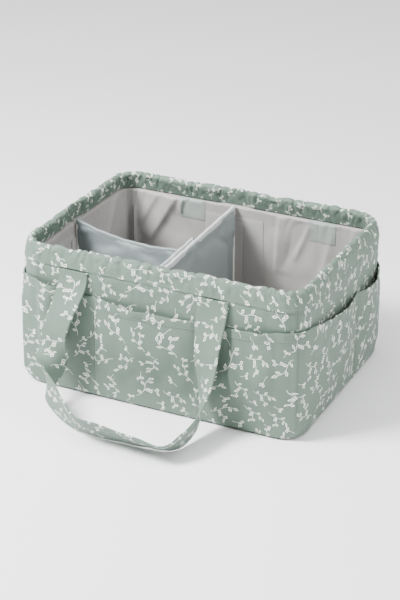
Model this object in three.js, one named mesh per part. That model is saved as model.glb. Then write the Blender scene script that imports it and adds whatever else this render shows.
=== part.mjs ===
// A foldable fabric organizer for baby things: a soft open basket with a gathered elastic rim,
// sewn pockets all round the outside, two cloth handles and two padded dividers that lift out.
// X runs along the length, Y across the width and Z up. The origin is under the middle of the base.
// All sizes are in millimetres.
import * as THREE from "three";

// Basket sizes
const baseLength = 360;
const baseWidth = 268;
const cornerRadius = 28;
const rimTop = 181;
const baseEdgeRounding = 6;
const wallLean = 4; // how far the rim of each long side stands inside its foot

// Cloth, foam and board
const seamGap = 0.3; // clearance between pieces that are sewn or laid together
const plateClearance = 0.6; // round the edges of the base layers
const shellCloth = 1.2;
const pocketCloth = 1;
const liningCloth = 1;
const foamThickness = 5;
const boardThickness = 3;

// Heights on the wall
const shellFoot = 0.5;
const shellTop = rimTop - 20;
const foamTop = rimTop - 36;
const pinchTop = rimTop - 25; // above this the lining lies straight against the shell

// Gathered rim
const casingFoot = rimTop - 22.5;
const rimDraw = 4; // how far the elastic draws the top of the rim inwards
const casingCloth = 1.2;
const casingBulge = 2;
const gatherDepth = 0.7;
const endGathers = 17;
const longSidePleats = 11;
const elasticThickness = 1.5;
const elasticSlack = 2.2; // room above the elastic inside the casing
const elasticOuterSlack = 0.8;

// Outside pockets, in places along the wall
const longSideSeams = [-77, 58];
const endSeams = [38];
const frontLeftMouth = 138; // the mouths' heights at the four corners
const frontRightMouth = 134;
const backRightMouth = 120;
const backLeftMouth = 131;
const frontSeamMouths = [130, 126]; // and at the seams
const rightSeamMouths = [117];
const backSeamMouths = [127, 128];
const leftSeamMouths = [125];
const longSideSag = 2.5;
const endSag = 5;
const longSideGape = 6.5;
const endGape = 8;
const fullGapeShare = 0.77; // share of the pocket's height where its gape is full
const hemHeight = 11;
const hemExtra = 0.5;
const pocketHandleClearance = 4; // along the wall, between a handle and the gape beside it

// Handles
const handlePlaces = [-103, 75];
const handleWidth = 38;
const handleThickness = 2.4;

// Patches that back the handle seams on the lining
const patchWidth = 34;
const patchHeight = 27;
const patchCloth = 0.8;

// Dividers and the strips that hold them
const dividerCloth = 1;
const dividerCore = 3.4;
const crossDividerX = -17;
const crossTopFront = rimTop - 31;
const crossTopBack = rimTop - 22;
const longDividerY = -8;
const longTopAtWall = rimTop - 19;
const longTopAtCross = rimTop - 32;
const longTopSag = 9;
const stripThickness = 0.8;
const stripFoot = 14;
const loopStripTop = foamTop - 1;
const loopStripWidth = 80;
const hookStripTop = foamTop - 7;
const hookStripWidth = 24;
const wingHookWidth = 48;
const wingCloth = 1.2;
const wingBack = 28; // how far the long divider's wing runs behind that divider
const wingRise = 1.5; // how far the wing stands above the cross divider's edge

const shellColour = 0x9aaca3;
const liningColour = 0xb5b3b1;
const dividerColour = 0x98a3a6;

const printedCloth = new THREE.MeshStandardMaterial({ color: shellColour, roughness: 0.85 });
const liningSatin = new THREE.MeshStandardMaterial({ color: liningColour, roughness: 0.6 });
const dividerSatin = new THREE.MeshStandardMaterial({ color: dividerColour, roughness: 0.5 });
const whiteFoam = new THREE.MeshStandardMaterial({ color: 0xe8e8e4, roughness: 0.95 });
const greyBoard = new THREE.MeshStandardMaterial({ color: 0x77777a, roughness: 0.8 });
const fastenerNap = new THREE.MeshStandardMaterial({ color: 0xa9abab, roughness: 0.95 });
const whiteElastic = new THREE.MeshStandardMaterial({ color: 0xf0f0ee, roughness: 0.9 });

const organizer = new THREE.Group();

function addPiece(name, geometry, material) {
  const mesh = new THREE.Mesh(geometry, material);
  mesh.name = name;
  organizer.add(mesh);
  return mesh;
}

function smoothStep(low, high, value) {
  const t = THREE.MathUtils.clamp((value - low) / (high - low), 0, 1);
  return t * t * (3 - 2 * t);
}

// A closed sheet between two grids of points. Columns run anticlockwise round the basket, rows run up,
// and looped columns join the last column to the first.
function sheetBetween(columnCount, rowCount, outerPoint, innerPoint, looped = false) {
  const points = [];
  const triangles = [];
  for (const pointAt of [outerPoint, innerPoint]) {
    for (let i = 0; i < columnCount; i++) {
      for (let j = 0; j < rowCount; j++) points.push(...pointAt(i, j));
    }
  }
  const outer = (i, j) => (i % columnCount) * rowCount + j;
  const inner = (i, j) => columnCount * rowCount + outer(i, j);
  const quad = (a, b, c, d) => triangles.push(a, b, c, a, c, d);
  const lastColumn = looped ? columnCount : columnCount - 1;
  for (let i = 0; i < lastColumn; i++) {
    for (let j = 0; j < rowCount - 1; j++) {
      quad(outer(i, j), outer(i + 1, j), outer(i + 1, j + 1), outer(i, j + 1));
      quad(inner(i, j), inner(i, j + 1), inner(i + 1, j + 1), inner(i + 1, j));
    }
    quad(inner(i, 0), inner(i + 1, 0), outer(i + 1, 0), outer(i, 0));
    const top = rowCount - 1;
    quad(outer(i, top), outer(i + 1, top), inner(i + 1, top), inner(i, top));
  }
  if (!looped) {
    const end = columnCount - 1;
    for (let j = 0; j < rowCount - 1; j++) {
      quad(inner(0, j), outer(0, j), outer(0, j + 1), inner(0, j + 1));
      quad(outer(end, j), inner(end, j), inner(end, j + 1), outer(end, j + 1));
    }
  }
  const geometry = new THREE.BufferGeometry();
  geometry.setAttribute("position", new THREE.Float32BufferAttribute(points, 3));
  geometry.setIndex(triangles);
  geometry.computeVertexNormals();
  return geometry;
}

// The four walls, anticlockwise. Each is drawn as if it were the front, then turned to its own side.
const longSide = { halfLength: baseLength / 2, halfOut: baseWidth / 2, leans: true, seams: longSideSeams };
const endSide = { halfLength: baseWidth / 2, halfOut: baseLength / 2, leans: false, seams: endSeams };
const sides = {
  front: { ...longSide, quarterTurns: 0, mouths: [frontLeftMouth, ...frontSeamMouths, frontRightMouth] },
  right: { ...endSide, quarterTurns: 1, mouths: [frontRightMouth, ...rightSeamMouths, backRightMouth] },
  back: { ...longSide, quarterTurns: 2, mouths: [backRightMouth, ...backSeamMouths, backLeftMouth] },
  left: { ...endSide, quarterTurns: 3, mouths: [backLeftMouth, ...leftSeamMouths, frontLeftMouth] },
};

function turned(side, along, out, z) {
  const turns = {
    0: [along, -out, z],
    1: [out, along, z],
    2: [-along, out, z],
    3: [-out, -along, z],
  };
  return turns[side.quarterTurns];
}

function leanAt(z) {
  return (wallLean * z) / rimTop;
}

function drawAt(z) {
  return (rimDraw * Math.max(z - casingFoot, 0)) / (rimTop - casingFoot);
}

function footInset(z) {
  if (z >= baseEdgeRounding) return 0;
  const rise = baseEdgeRounding - Math.max(z, 0);
  return baseEdgeRounding - Math.sqrt(baseEdgeRounding ** 2 - rise ** 2);
}

function straightHalf(side, z) {
  return side.halfLength - cornerRadius - drawAt(z) - (side.leans ? 0 : leanAt(z));
}

// A point of a wall. A column is a place along the straight stretch, or a turn round a corner in radians.
// Depth is measured inwards from the outer face of the shell.
function wallPoint(side, column, z, depth) {
  const straight = straightHalf(side, z);
  const out = side.halfOut - drawAt(z) - (side.leans ? leanAt(z) : 0);
  const inset = depth + footInset(z);
  if (column.turn === undefined) {
    const along = THREE.MathUtils.clamp(column.along, -straight, straight);
    return turned(side, along, out - inset, z);
  }
  const radius = cornerRadius - inset;
  const angle = Math.abs(column.turn);
  const along = Math.sign(column.turn) * (straight + radius * Math.sin(angle));
  return turned(side, along, out - cornerRadius + radius * Math.cos(angle), z);
}

// Columns for a whole wall, from one corner seam to the next.
const cornerSteps = 4;
const cornerSeamTurn = Math.PI / 4 - seamGap / 2 / cornerRadius;

function wallColumns(side, places = []) {
  const end = side.halfLength - cornerRadius;
  const turns = Array.from({ length: cornerSteps }, (_, k) => (cornerSeamTurn * (k + 1)) / cornerSteps);
  return [
    ...turns.toReversed().map((turn) => ({ turn: -turn })),
    { along: -end },
    ...places.map((along) => ({ along })),
    { along: end },
    ...turns.map((turn) => ({ turn })),
  ];
}

// Layers of the wall, as depths from the outer face of the shell
const foamDepth = shellCloth + seamGap;
const liningDepth = foamDepth + foamThickness + seamGap;
const liningFace = liningDepth + liningCloth;
const pinchedLiningDepth = shellCloth + seamGap;

function liningDepthAt(z) {
  return THREE.MathUtils.lerp(liningDepth, pinchedLiningDepth, smoothStep(foamTop, pinchTop, z));
}

// Heights of the base layers
const basePanelTop = shellCloth;
const boardFoot = basePanelTop + seamGap;
const baseLiningFoot = boardFoot + boardThickness + seamGap;
const floorHeight = baseLiningFoot + liningCloth;
const wallLiningFoot = floorHeight + seamGap;

const shellLevels = [shellFoot, 1.5, 3.2, baseEdgeRounding, 60, 115, foamTop, casingFoot, shellTop];
const pinchLevels = [3, 6, 9].map((rise) => foamTop + rise);
const liningLevels = [wallLiningFoot, 75, foamTop, ...pinchLevels, pinchTop, casingFoot, shellTop];

function addWallLayers(name, side) {
  const columns = wallColumns(side);
  const shell = sheetBetween(
    columns.length,
    shellLevels.length,
    (i, j) => wallPoint(side, columns[i], shellLevels[j], 0),
    (i, j) => wallPoint(side, columns[i], shellLevels[j], shellCloth),
  );
  addPiece(`${name}_panel`, shell, printedCloth);

  const lining = sheetBetween(
    columns.length,
    liningLevels.length,
    (i, j) => wallPoint(side, columns[i], liningLevels[j], liningDepthAt(liningLevels[j])),
    (i, j) => wallPoint(side, columns[i], liningLevels[j], liningDepthAt(liningLevels[j]) + liningCloth),
  );
  addPiece(`${name}_lining`, lining, liningSatin);

  const foamEnds = [-1, 1].map((end) => ({ along: end * straightHalf(side, foamTop) }));
  const foamLevels = [wallLiningFoot, foamTop];
  const foam = sheetBetween(
    foamEnds.length,
    foamLevels.length,
    (i, j) => wallPoint(side, foamEnds[i], foamLevels[j], foamDepth),
    (i, j) => wallPoint(side, foamEnds[i], foamLevels[j], foamDepth + foamThickness),
  );
  addPiece(`${name}_foam`, foam, whiteFoam);
}

function roundedPlate(inset, foot, thickness) {
  const x = baseLength / 2 - inset;
  const y = baseWidth / 2 - inset;
  const radius = cornerRadius - inset;
  const outline = new THREE.Shape();
  outline.absarc(x - radius, y - radius, radius, 0, Math.PI / 2);
  outline.absarc(-x + radius, y - radius, radius, Math.PI / 2, Math.PI);
  outline.absarc(-x + radius, -y + radius, radius, Math.PI, 1.5 * Math.PI);
  outline.absarc(x - radius, -y + radius, radius, 1.5 * Math.PI, 2 * Math.PI);
  const extrusion = { depth: thickness, bevelEnabled: false, curveSegments: 6 };
  return new THREE.ExtrudeGeometry(outline, extrusion).translate(0, 0, foot);
}

function addBase() {
  const insetAt = (z) => footInset(z) + shellCloth + plateClearance;
  addPiece("base_panel", roundedPlate(insetAt(shellFoot), 0, shellCloth), printedCloth);
  addPiece("base_board", roundedPlate(insetAt(boardFoot), boardFoot, boardThickness), greyBoard);
  addPiece("base_lining", roundedPlate(insetAt(baseLiningFoot), baseLiningFoot, liningCloth), liningSatin);
}

// An outside pocket panel is one cloth, sewn down at its seams, that gapes between them.
// Each pocket is a stretch between two seams, and its gape is where the mouth stands open.
function pocketStretches(side) {
  const end = side.halfLength - cornerRadius;
  const seams = [-end, ...side.seams, end];
  return seams.slice(1).map((to, k) => ({ from: seams[k], to, mouths: side.mouths.slice(k, k + 2) }));
}

// A handle presses the pocket behind it flat, so the mouth gapes on the wider side of it.
function gapeRange(side, stretch) {
  const clear = handleWidth / 2 + pocketHandleClearance;
  const crossing = handlePlaces.find((place) => place + clear > stretch.from && place - clear < stretch.to);
  if (!side.leans || crossing === undefined) return stretch;
  const before = { from: stretch.from, to: crossing - clear };
  const after = { from: crossing + clear, to: stretch.to };
  return before.to - before.from > after.to - after.from ? before : after;
}

function pocketPlaces(side) {
  const steps = 6;
  const places = [];
  for (const stretch of pocketStretches(side)) {
    const gape = gapeRange(side, stretch);
    for (let k = 0; k <= steps; k++) {
      places.push(THREE.MathUtils.lerp(gape.from, gape.to, k / steps));
    }
  }
  return [...new Set([...places, ...side.seams])]
    .sort((a, b) => a - b)
    .filter((place) => Math.abs(place) < side.halfLength - cornerRadius - 1);
}

function pocketShapeAt(side, column) {
  const end = side.halfLength - cornerRadius;
  const along = column.turn === undefined ? column.along : Math.sign(column.turn) * end;
  const stretch = pocketStretches(side).find((one) => along >= one.from && along <= one.to);
  const { from, to } = gapeRange(side, stretch);
  const gapeShare = THREE.MathUtils.clamp((along - from) / (to - from), 0, 1);
  const share = (along - stretch.from) / (stretch.to - stretch.from);
  const straightTop = THREE.MathUtils.lerp(...stretch.mouths, share);
  const sag = side.leans ? longSideSag : endSag;
  const fullGape = side.leans ? longSideGape : endGape;
  return {
    gape: column.turn === undefined ? fullGape * Math.sin(Math.PI * gapeShare) ** 0.6 : 0,
    mouth: straightTop - sag * 4 * share * (1 - share),
  };
}

const pocketRows = [0, 0.012, 0.025, 0.045, 0.2, 0.45, 0.7];

function addPocketPanel(name, side) {
  const columns = wallColumns(side, pocketPlaces(side));
  const shapes = columns.map((column) => pocketShapeAt(side, column));
  const rowHeights = shapes.map(({ mouth }) => {
    const hemFoot = mouth - hemHeight;
    const below = pocketRows.map((share) => THREE.MathUtils.lerp(shellFoot, hemFoot, share));
    return [...below, hemFoot, hemFoot + 1, mouth];
  });
  const rowCount = rowHeights[0].length;
  const opened = (i, z) => {
    const share = (z - shellFoot) / (shapes[i].mouth - shellFoot);
    return shapes[i].gape * Math.sin((Math.PI / 2) * Math.min(1, share / fullGapeShare));
  };
  const innerDepth = (i, j) => -seamGap - opened(i, rowHeights[i][j]);
  const hem = (j) => (j >= rowCount - 2 ? hemExtra : 0);
  const pocket = sheetBetween(
    columns.length,
    rowCount,
    (i, j) => wallPoint(side, columns[i], rowHeights[i][j], innerDepth(i, j) - pocketCloth - hem(j)),
    (i, j) => wallPoint(side, columns[i], rowHeights[i][j], innerDepth(i, j)),
  );
  addPiece(`${name}_pocket`, pocket, printedCloth);
}

// The rim casing is one folded cloth over the top of the wall, open along its foot, with the elastic inside.
// Its fold is drawn as a bow from the outer foot over the top to the inner foot.
const casingInnerFoot = casingFoot + 1;
const casingOuterDepth = -seamGap; // inner face of the outer leg at its foot
const casingInnerDepth = pinchedLiningDepth + liningCloth + seamGap; // outer face of the inner leg
const foldSteps = 6;
const foldHeightPower = 0.55; // below 1, the fold's sides stand upright and its top is flat
const foldSwellPower = 0.8;
const foldSweepPower = 0.6;

function casingFold(step, thickness, gather) {
  const share = step / foldSteps;
  const middle = (casingOuterDepth + casingInnerDepth) / 2;
  const half = (casingInnerDepth - casingOuterDepth) / 2;
  const foot = THREE.MathUtils.lerp(casingFoot, casingInnerFoot, share);
  const angle = Math.PI * share;
  const height = Math.sin(angle) ** foldHeightPower * (rimTop - casingCloth - foot);
  const swell = (casingBulge + gather) * Math.sin(angle) ** foldSwellPower;
  const sweep = Math.cos(angle);
  const outwards = Math.sign(sweep) * Math.abs(sweep) ** foldSweepPower;
  const depth = middle - sweep * half - outwards * (swell + thickness);
  return { depth, z: foot + height + thickness * Math.sqrt(Math.sin(angle)) };
}

function addRimCasing(name, side) {
  const end = side.halfLength - cornerRadius;
  const count = side.leans ? longSidePleats : endGathers;
  const places = Array.from({ length: 2 * count - 1 }, (_, k) => -end + ((k + 1) * end) / count);
  const columns = wallColumns(side, places);
  const gathers = columns.map((_, i) => (i % 2 ? gatherDepth : 0));
  const foldPoint = (thickness) => (i, j) => {
    const { depth, z } = casingFold(j, thickness, gathers[i]);
    return wallPoint(side, columns[i], z, depth);
  };
  const casing = sheetBetween(columns.length, foldSteps + 1, foldPoint(casingCloth), foldPoint(0));
  addPiece(`rim_casing_${name}`, casing, printedCloth);
}

function addRimElastic() {
  const foot = shellTop + seamGap;
  const top = rimTop - casingCloth - elasticSlack;
  const depth = casingOuterDepth + elasticOuterSlack;
  const ring = Object.values(sides).flatMap((side) =>
    wallColumns(side)
      .slice(1)
      .map((column) => ({ side, column })),
  );
  const levels = [foot, top];
  const elastic = sheetBetween(
    ring.length,
    levels.length,
    (i, j) => wallPoint(ring[i].side, ring[i].column, levels[j], depth),
    (i, j) => wallPoint(ring[i].side, ring[i].column, levels[j], depth + elasticThickness),
    true,
  );
  addPiece("rim_elastic", elastic, whiteElastic);
}

// A flat piece on a wall's lining, such as a patch or a strip, that follows the lining's slope
function addLiningPiece(name, side, { along, foot, top, width, thickness }, material) {
  const ends = [-1, 1].map((end) => ({ along: along + (end * width) / 2 }));
  const levels = [foot, ...liningLevels.filter((z) => z > foot && z < top), top];
  const backAt = (z) => liningDepthAt(z) + liningCloth + seamGap;
  const piece = sheetBetween(
    ends.length,
    levels.length,
    (i, j) => wallPoint(side, ends[i], levels[j], backAt(levels[j])),
    (i, j) => wallPoint(side, ends[i], levels[j], backAt(levels[j]) + thickness),
  );
  addPiece(name, piece, material);
}

function addHandlePatches(name, side) {
  const top = casingFoot - seamGap;
  handlePlaces.forEach((along, k) => {
    const patch = { along, foot: top - patchHeight, top, width: patchWidth, thickness: patchCloth };
    addLiningPiece(`${name}_patch_${k + 1}`, side, patch, dividerSatin);
  });
}

function addLoopStrips() {
  const strip = { foot: stripFoot, top: loopStripTop, width: loopStripWidth, thickness: stripThickness };
  addLiningPiece("front_loop_strip", sides.front, { ...strip, along: crossDividerX }, fastenerNap);
  addLiningPiece("back_loop_strip", sides.back, { ...strip, along: -crossDividerX }, fastenerNap);
  addLiningPiece("left_loop_strip", sides.left, { ...strip, along: -longDividerY }, fastenerNap);
}

// A divider is a padded panel: one cloth folded over the top of a foam core.
// It is drawn along the length of the basket, and its top may slope or sag.
const dividerHalf = dividerCore / 2 + seamGap + dividerCloth;
const dividerFoot = floorHeight + seamGap;
const dividerColumns = 13;
const dividerFoldSteps = 6;

function dividerFold(row, halfThickness, top) {
  const foldCentre = top - dividerHalf;
  if (row === 0) return { across: -halfThickness, z: dividerFoot };
  if (row === dividerFoldSteps + 2) return { across: halfThickness, z: dividerFoot };
  const angle = (Math.PI * (row - 1)) / dividerFoldSteps;
  return {
    across: -halfThickness * Math.cos(angle),
    z: foldCentre + halfThickness * Math.sin(angle),
  };
}

function dividerCover(from, to, topAt) {
  const alongAt = (i) => THREE.MathUtils.lerp(from, to, i / (dividerColumns - 1));
  const pointOn = (halfThickness) => (i, j) => {
    const { across, z } = dividerFold(j, halfThickness, topAt(i / (dividerColumns - 1)));
    return [alongAt(i), across, z];
  };
  return sheetBetween(
    dividerColumns,
    dividerFoldSteps + 3,
    pointOn(dividerHalf),
    pointOn(dividerHalf - dividerCloth),
  );
}

function dividerFoam(from, to, topAt) {
  const alongAt = (i) => THREE.MathUtils.lerp(from, to, i / (dividerColumns - 1));
  const zAt = (i, j) => (j === 0 ? dividerFoot : topAt(i / (dividerColumns - 1)) - dividerHalf);
  return sheetBetween(
    dividerColumns,
    2,
    (i, j) => [alongAt(i), -dividerCore / 2, zAt(i, j)],
    (i, j) => [alongAt(i), dividerCore / 2, zAt(i, j)],
  );
}

// An upright strip of hook tape, drawn in the plane of X and Z and centred on it
function hookStrip(width, foot, top) {
  const x = width / 2;
  const radius = 3;
  const outline = new THREE.Shape();
  outline.absarc(x - radius, foot + radius, radius, -Math.PI / 2, 0);
  outline.absarc(x - radius, top - radius, radius, 0, Math.PI / 2);
  outline.absarc(-x + radius, top - radius, radius, Math.PI / 2, Math.PI);
  outline.absarc(-x + radius, foot + radius, radius, Math.PI, 1.5 * Math.PI);
  const strip = new THREE.ExtrudeGeometry(outline, {
    depth: stripThickness,
    bevelEnabled: false,
    curveSegments: 3,
  });
  return strip.rotateX(Math.PI / 2).translate(0, stripThickness / 2, 0);
}

function reachToLoopStrip(side) {
  const lean = side.leans ? leanAt(foamTop) : 0;
  return side.halfOut - lean - liningFace - seamGap - stripThickness - seamGap;
}

const crossHalf = reachToLoopStrip(sides.front);
const crossCoverHalf = crossHalf - stripThickness - seamGap;
const crossTopAt = (share) => THREE.MathUtils.lerp(crossTopFront, crossTopBack, share);

function addCrossDivider() {
  const cover = dividerCover(-crossCoverHalf, crossCoverHalf, crossTopAt);
  const foam = dividerFoam(-crossCoverHalf, crossCoverHalf, crossTopAt);
  for (const [name, geometry, material] of [
    ["cross_divider_cover", cover, dividerSatin],
    ["cross_divider_foam", foam, whiteFoam],
  ]) {
    const piece = addPiece(name, geometry, material);
    piece.rotation.z = Math.PI / 2;
    piece.position.x = crossDividerX;
  }
  for (const [name, end] of [
    ["cross_divider_front_hook", -1],
    ["cross_divider_back_hook", 1],
  ]) {
    const strip = addPiece(name, hookStrip(hookStripWidth, stripFoot, hookStripTop), fastenerNap);
    strip.position.set(crossDividerX, end * (crossHalf - stripThickness / 2), 0);
  }
}

// The long divider ends in a wing, which its hook strip holds to the cross divider's left face.
const crossLeftFace = crossDividerX - dividerHalf;
const wingHookX = crossLeftFace - seamGap - stripThickness / 2;
const wingRight = wingHookX - stripThickness / 2 - seamGap;
const wingFrontEnd = -crossCoverHalf + 2 * seamGap;
const wingBackEnd = longDividerY + wingBack;
const longLeftHookX = -reachToLoopStrip(sides.left) + stripThickness / 2;
const longFrom = longLeftHookX + stripThickness / 2 + seamGap;
const longTo = wingRight - wingCloth - seamGap;

function longTopAt(share) {
  return THREE.MathUtils.lerp(longTopAtWall, longTopAtCross, share) - longTopSag * 4 * share * (1 - share);
}

function wingTopAt(y) {
  return crossTopAt((y + crossCoverHalf) / (2 * crossCoverHalf)) + wingRise;
}

function addLongDivider() {
  const cover = addPiece("long_divider_cover", dividerCover(longFrom, longTo, longTopAt), dividerSatin);
  cover.position.y = longDividerY;
  const foam = addPiece("long_divider_foam", dividerFoam(longFrom, longTo, longTopAt), whiteFoam);
  foam.position.y = longDividerY;

  const leftStrip = hookStrip(hookStripWidth, stripFoot, hookStripTop);
  const leftHook = addPiece("long_divider_left_hook", leftStrip, fastenerNap);
  leftHook.rotation.z = Math.PI / 2;
  leftHook.position.set(longLeftHookX, longDividerY, 0);

  const wingEnds = [wingFrontEnd, wingBackEnd];
  const wingZ = (i, j) => (j === 0 ? dividerFoot : wingTopAt(wingEnds[i]));
  const wing = sheetBetween(
    wingEnds.length,
    2,
    (i, j) => [wingRight, wingEnds[i], wingZ(i, j)],
    (i, j) => [wingRight - wingCloth, wingEnds[i], wingZ(i, j)],
  );
  addPiece("long_divider_wing", wing, dividerSatin);

  const wingStrip = hookStrip(wingHookWidth, stripFoot, hookStripTop);
  const wingHook = addPiece("long_divider_wing_hook", wingStrip, fastenerNap);
  wingHook.rotation.z = Math.PI / 2;
  wingHook.position.set(wingHookX, longDividerY, 0);
}

// A handle is one flat strap. It hangs from its two sewn ends, twists as it nears the floor, and its loop
// stands on one edge in front of the wall and leans outwards.
// Each place on the way gives the share of the way from the first sewn end to the second, how far the
// strap's middle stands out from the wall's foot, its share of the drop, and the direction across the strap.
const handlePivotHeight = casingFoot - handleThickness / 2 - seamGap;
const handlePivotOut = seamGap + casingCloth + handleThickness / 2 - leanAt(handlePivotHeight);
const handleRoute = [
  { share: 0, out: handlePivotOut, drop: 0, across: [1, 0, 0] },
  { share: 0, out: handlePivotOut + 1.2, drop: 0.07, across: [1, -0.02, 0] },
  { share: -0.017, out: 5.2, drop: 0.175, across: [0.98, -0.17, 0] },
  { share: -0.053, out: 13, drop: 0.305, across: [0.96, -0.29, -0.02] },
  { share: -0.088, out: 19.5, drop: 0.45, across: [0.96, -0.29, -0.05] },
  { share: -0.092, out: 22.5, drop: 0.6, across: [0.97, -0.12, -0.18] },
  { share: -0.08, out: 34.8, drop: 0.71, across: [0.56, 0.25, -0.78] },
  { share: -0.041, out: 53.5, drop: 0.79, across: [-0.2, 0.18, -0.95] },
  { share: 0.069, out: 67.8, drop: 0.853, across: [-0.15, 0.18, -0.97] },
  { share: 0.194, out: 81.6, drop: 0.875, across: [-0.01, 0.28, -0.96] },
  { share: 0.327, out: 93.7, drop: 0.89, across: [0.09, 0.53, -0.84] },
  { share: 0.479, out: 95.1, drop: 0.895, across: [0.04, 0.61, -0.79] },
  { share: 0.631, out: 95, drop: 0.901, across: [-0.02, 0.68, -0.73] },
  { share: 0.776, out: 95.3, drop: 0.904, across: [-0.14, 0.73, -0.67] },
  { share: 0.907, out: 92.5, drop: 0.919, across: [-0.39, 0.7, -0.59] },
  { share: 0.981, out: 77.3, drop: 0.894, across: [-0.38, 0.46, -0.8] },
  { share: 1.006, out: 57.5, drop: 0.873, across: [-0.34, 0.37, -0.86] },
  { share: 1.012, out: 37.5, drop: 0.821, across: [-0.37, 0.54, -0.76] },
  { share: 0.998, out: 22.8, drop: 0.707, across: [-0.56, 0.66, -0.5] },
  { share: 0.989, out: 14, drop: 0.559, across: [-0.82, 0.53, -0.22] },
  { share: 0.985, out: 10.9, drop: 0.393, across: [-0.94, 0.34, -0.05] },
  { share: 0.99, out: 4.6, drop: 0.21, across: [-0.99, 0.12, 0] },
  { share: 1, out: handlePivotOut + 1, drop: 0.06, across: [-1, 0.02, 0] },
  { share: 1, out: handlePivotOut, drop: 0, across: [-1, 0, 0] },
];
const handleSections = 60;

function handlePlace({ share, out, drop, across }) {
  const x = THREE.MathUtils.lerp(...handlePlaces, share);
  const place = new THREE.Vector3(x, -baseWidth / 2 - out, handlePivotHeight * (1 - drop));
  return { place, direction: new THREE.Vector3(...across).normalize() };
}

// Sections along the strap, each with its middle, its half width and its half thickness as vectors
function handleSectionList() {
  const route = handleRoute.map(handlePlace);
  const middle = new THREE.CatmullRomCurve3(route.map(({ place }) => place), false, "catmullrom");
  const across = new THREE.CatmullRomCurve3(route.map(({ direction }) => direction), false, "catmullrom");
  const sectionAt = (t, shift, halfThickness) => {
    const tangent = middle.getTangent(t);
    const width = across.getPoint(t);
    width.addScaledVector(tangent, -width.dot(tangent)).setLength(handleWidth / 2);
    const thickness = new THREE.Vector3().crossVectors(tangent, width).setLength(halfThickness);
    return { centre: middle.getPoint(t).addScaledVector(tangent, shift), width, thickness };
  };
  const half = handleThickness / 2;
  const roundEnd = [0.95, 0.75, 0.4].map((share) => {
    return { reach: half * share, rise: half * Math.sqrt(1 - share ** 2) };
  });
  return [
    ...roundEnd.map(({ reach, rise }) => sectionAt(0, -reach, rise)),
    ...Array.from({ length: handleSections + 1 }, (_, k) => sectionAt(k / handleSections, 0, half)),
    ...roundEnd.toReversed().map(({ reach, rise }) => sectionAt(1, reach, rise)),
  ];
}

function handleStrap() {
  const sections = handleSectionList();
  const pointOn = (face) => (i, j) => {
    const { centre, width, thickness } = sections[i];
    const point = centre.clone().addScaledVector(width, 2 * j - 1).addScaledVector(thickness, face);
    return [point.x, point.y, Math.max(point.z, 0)];
  };
  return sheetBetween(sections.length, 2, pointOn(1), pointOn(-1));
}

function addHandles() {
  addPiece("front_handle", handleStrap(), printedCloth);
  const back = addPiece("back_handle", handleStrap(), printedCloth);
  back.rotation.z = Math.PI;
}

addBase();
for (const [name, side] of Object.entries(sides)) {
  addWallLayers(name, side);
  addPocketPanel(name, side);
  addRimCasing(name, side);
}
addRimElastic();
addHandlePatches("front", sides.front);
addHandlePatches("back", sides.back);
addLoopStrips();
addCrossDivider();
addLongDivider();
addHandles();

export default organizer;
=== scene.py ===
# %% [markdown]
# # A fabric organizer for baby things
# The object is a soft open basket. It is sewn from a sage green cloth with a small white leafy print, has a
# gathered elastic rim, pockets all round, two cloth handles and two padded dividers covered in satin.
# The packed model gives the frame: where the walls, seams, hinges and dividers are. Everything below
# dresses that frame, so each piece takes its place from it and rides on one of its bodies.

# %% Load the frame
import math
import bmesh
import bpy
import numpy as np
from mathutils import Matrix, Vector


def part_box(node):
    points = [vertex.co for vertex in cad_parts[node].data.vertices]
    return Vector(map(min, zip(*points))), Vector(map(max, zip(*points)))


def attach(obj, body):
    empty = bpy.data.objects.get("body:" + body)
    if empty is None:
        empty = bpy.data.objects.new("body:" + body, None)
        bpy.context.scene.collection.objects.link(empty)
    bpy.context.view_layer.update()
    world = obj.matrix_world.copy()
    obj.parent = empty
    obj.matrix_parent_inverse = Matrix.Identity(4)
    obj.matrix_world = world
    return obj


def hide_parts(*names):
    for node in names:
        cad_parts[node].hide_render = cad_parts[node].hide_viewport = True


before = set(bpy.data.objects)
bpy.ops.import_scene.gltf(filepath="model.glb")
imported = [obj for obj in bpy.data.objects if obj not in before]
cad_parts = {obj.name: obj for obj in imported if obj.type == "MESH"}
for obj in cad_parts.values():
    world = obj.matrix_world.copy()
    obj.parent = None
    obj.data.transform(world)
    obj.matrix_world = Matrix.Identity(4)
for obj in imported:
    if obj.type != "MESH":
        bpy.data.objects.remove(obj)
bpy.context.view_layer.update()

MM = 0.001

# %% [markdown]
# ## Camera, floor and light
# The camera stands where the photograph was taken from: in front, a little to the right, and above.
# Its place came from fitting the basket's straight edges. The floor is a wide sheet of white paper.
# A softbox at the front left is the main light, so that the straps throw soft shadows to their right. One
# lamp alone would leave the right end and the inside dark. So a weak softbox stands on the right, and a wide
# even light from the ceiling and white surroundings fill the rest and keep the floor evenly pale.


# %% Camera
def linked(name, data):
    """A new object in the scene."""
    made = bpy.data.objects.new(name, data)
    bpy.context.collection.objects.link(made)
    return made


EYE = Vector((0.77603, -1.60944, 0.94022))
CAMERA_RIGHT = Vector((0.89956, 0.43680, 0.0))
CAMERA_UP = Vector((-0.18874, 0.38869, 0.90183))
LENS = 98.34  # for a 36 mm sensor along the picture's height

camera_data = bpy.data.cameras.new("camera")
camera_data.lens = LENS
camera_data.sensor_width = 36
camera = linked("camera", camera_data)
camera_turn = Matrix((CAMERA_RIGHT, CAMERA_UP, CAMERA_RIGHT.cross(CAMERA_UP))).transposed()
camera.matrix_world = Matrix.Translation(EYE) @ camera_turn.to_4x4()
bpy.context.scene.camera = camera
print("camera:", round(EYE.length, 2), "m from the basket")


# %% Floor and lights
def area_light(name, place, target, size, power):
    light = bpy.data.lights.new(name, "AREA")
    light.size = size
    light.energy = power
    aim = (Vector(target) - Vector(place)).to_track_quat("-Z", "Y")
    linked(name, light).matrix_world = Matrix.Translation(place) @ aim.to_matrix().to_4x4()


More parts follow.
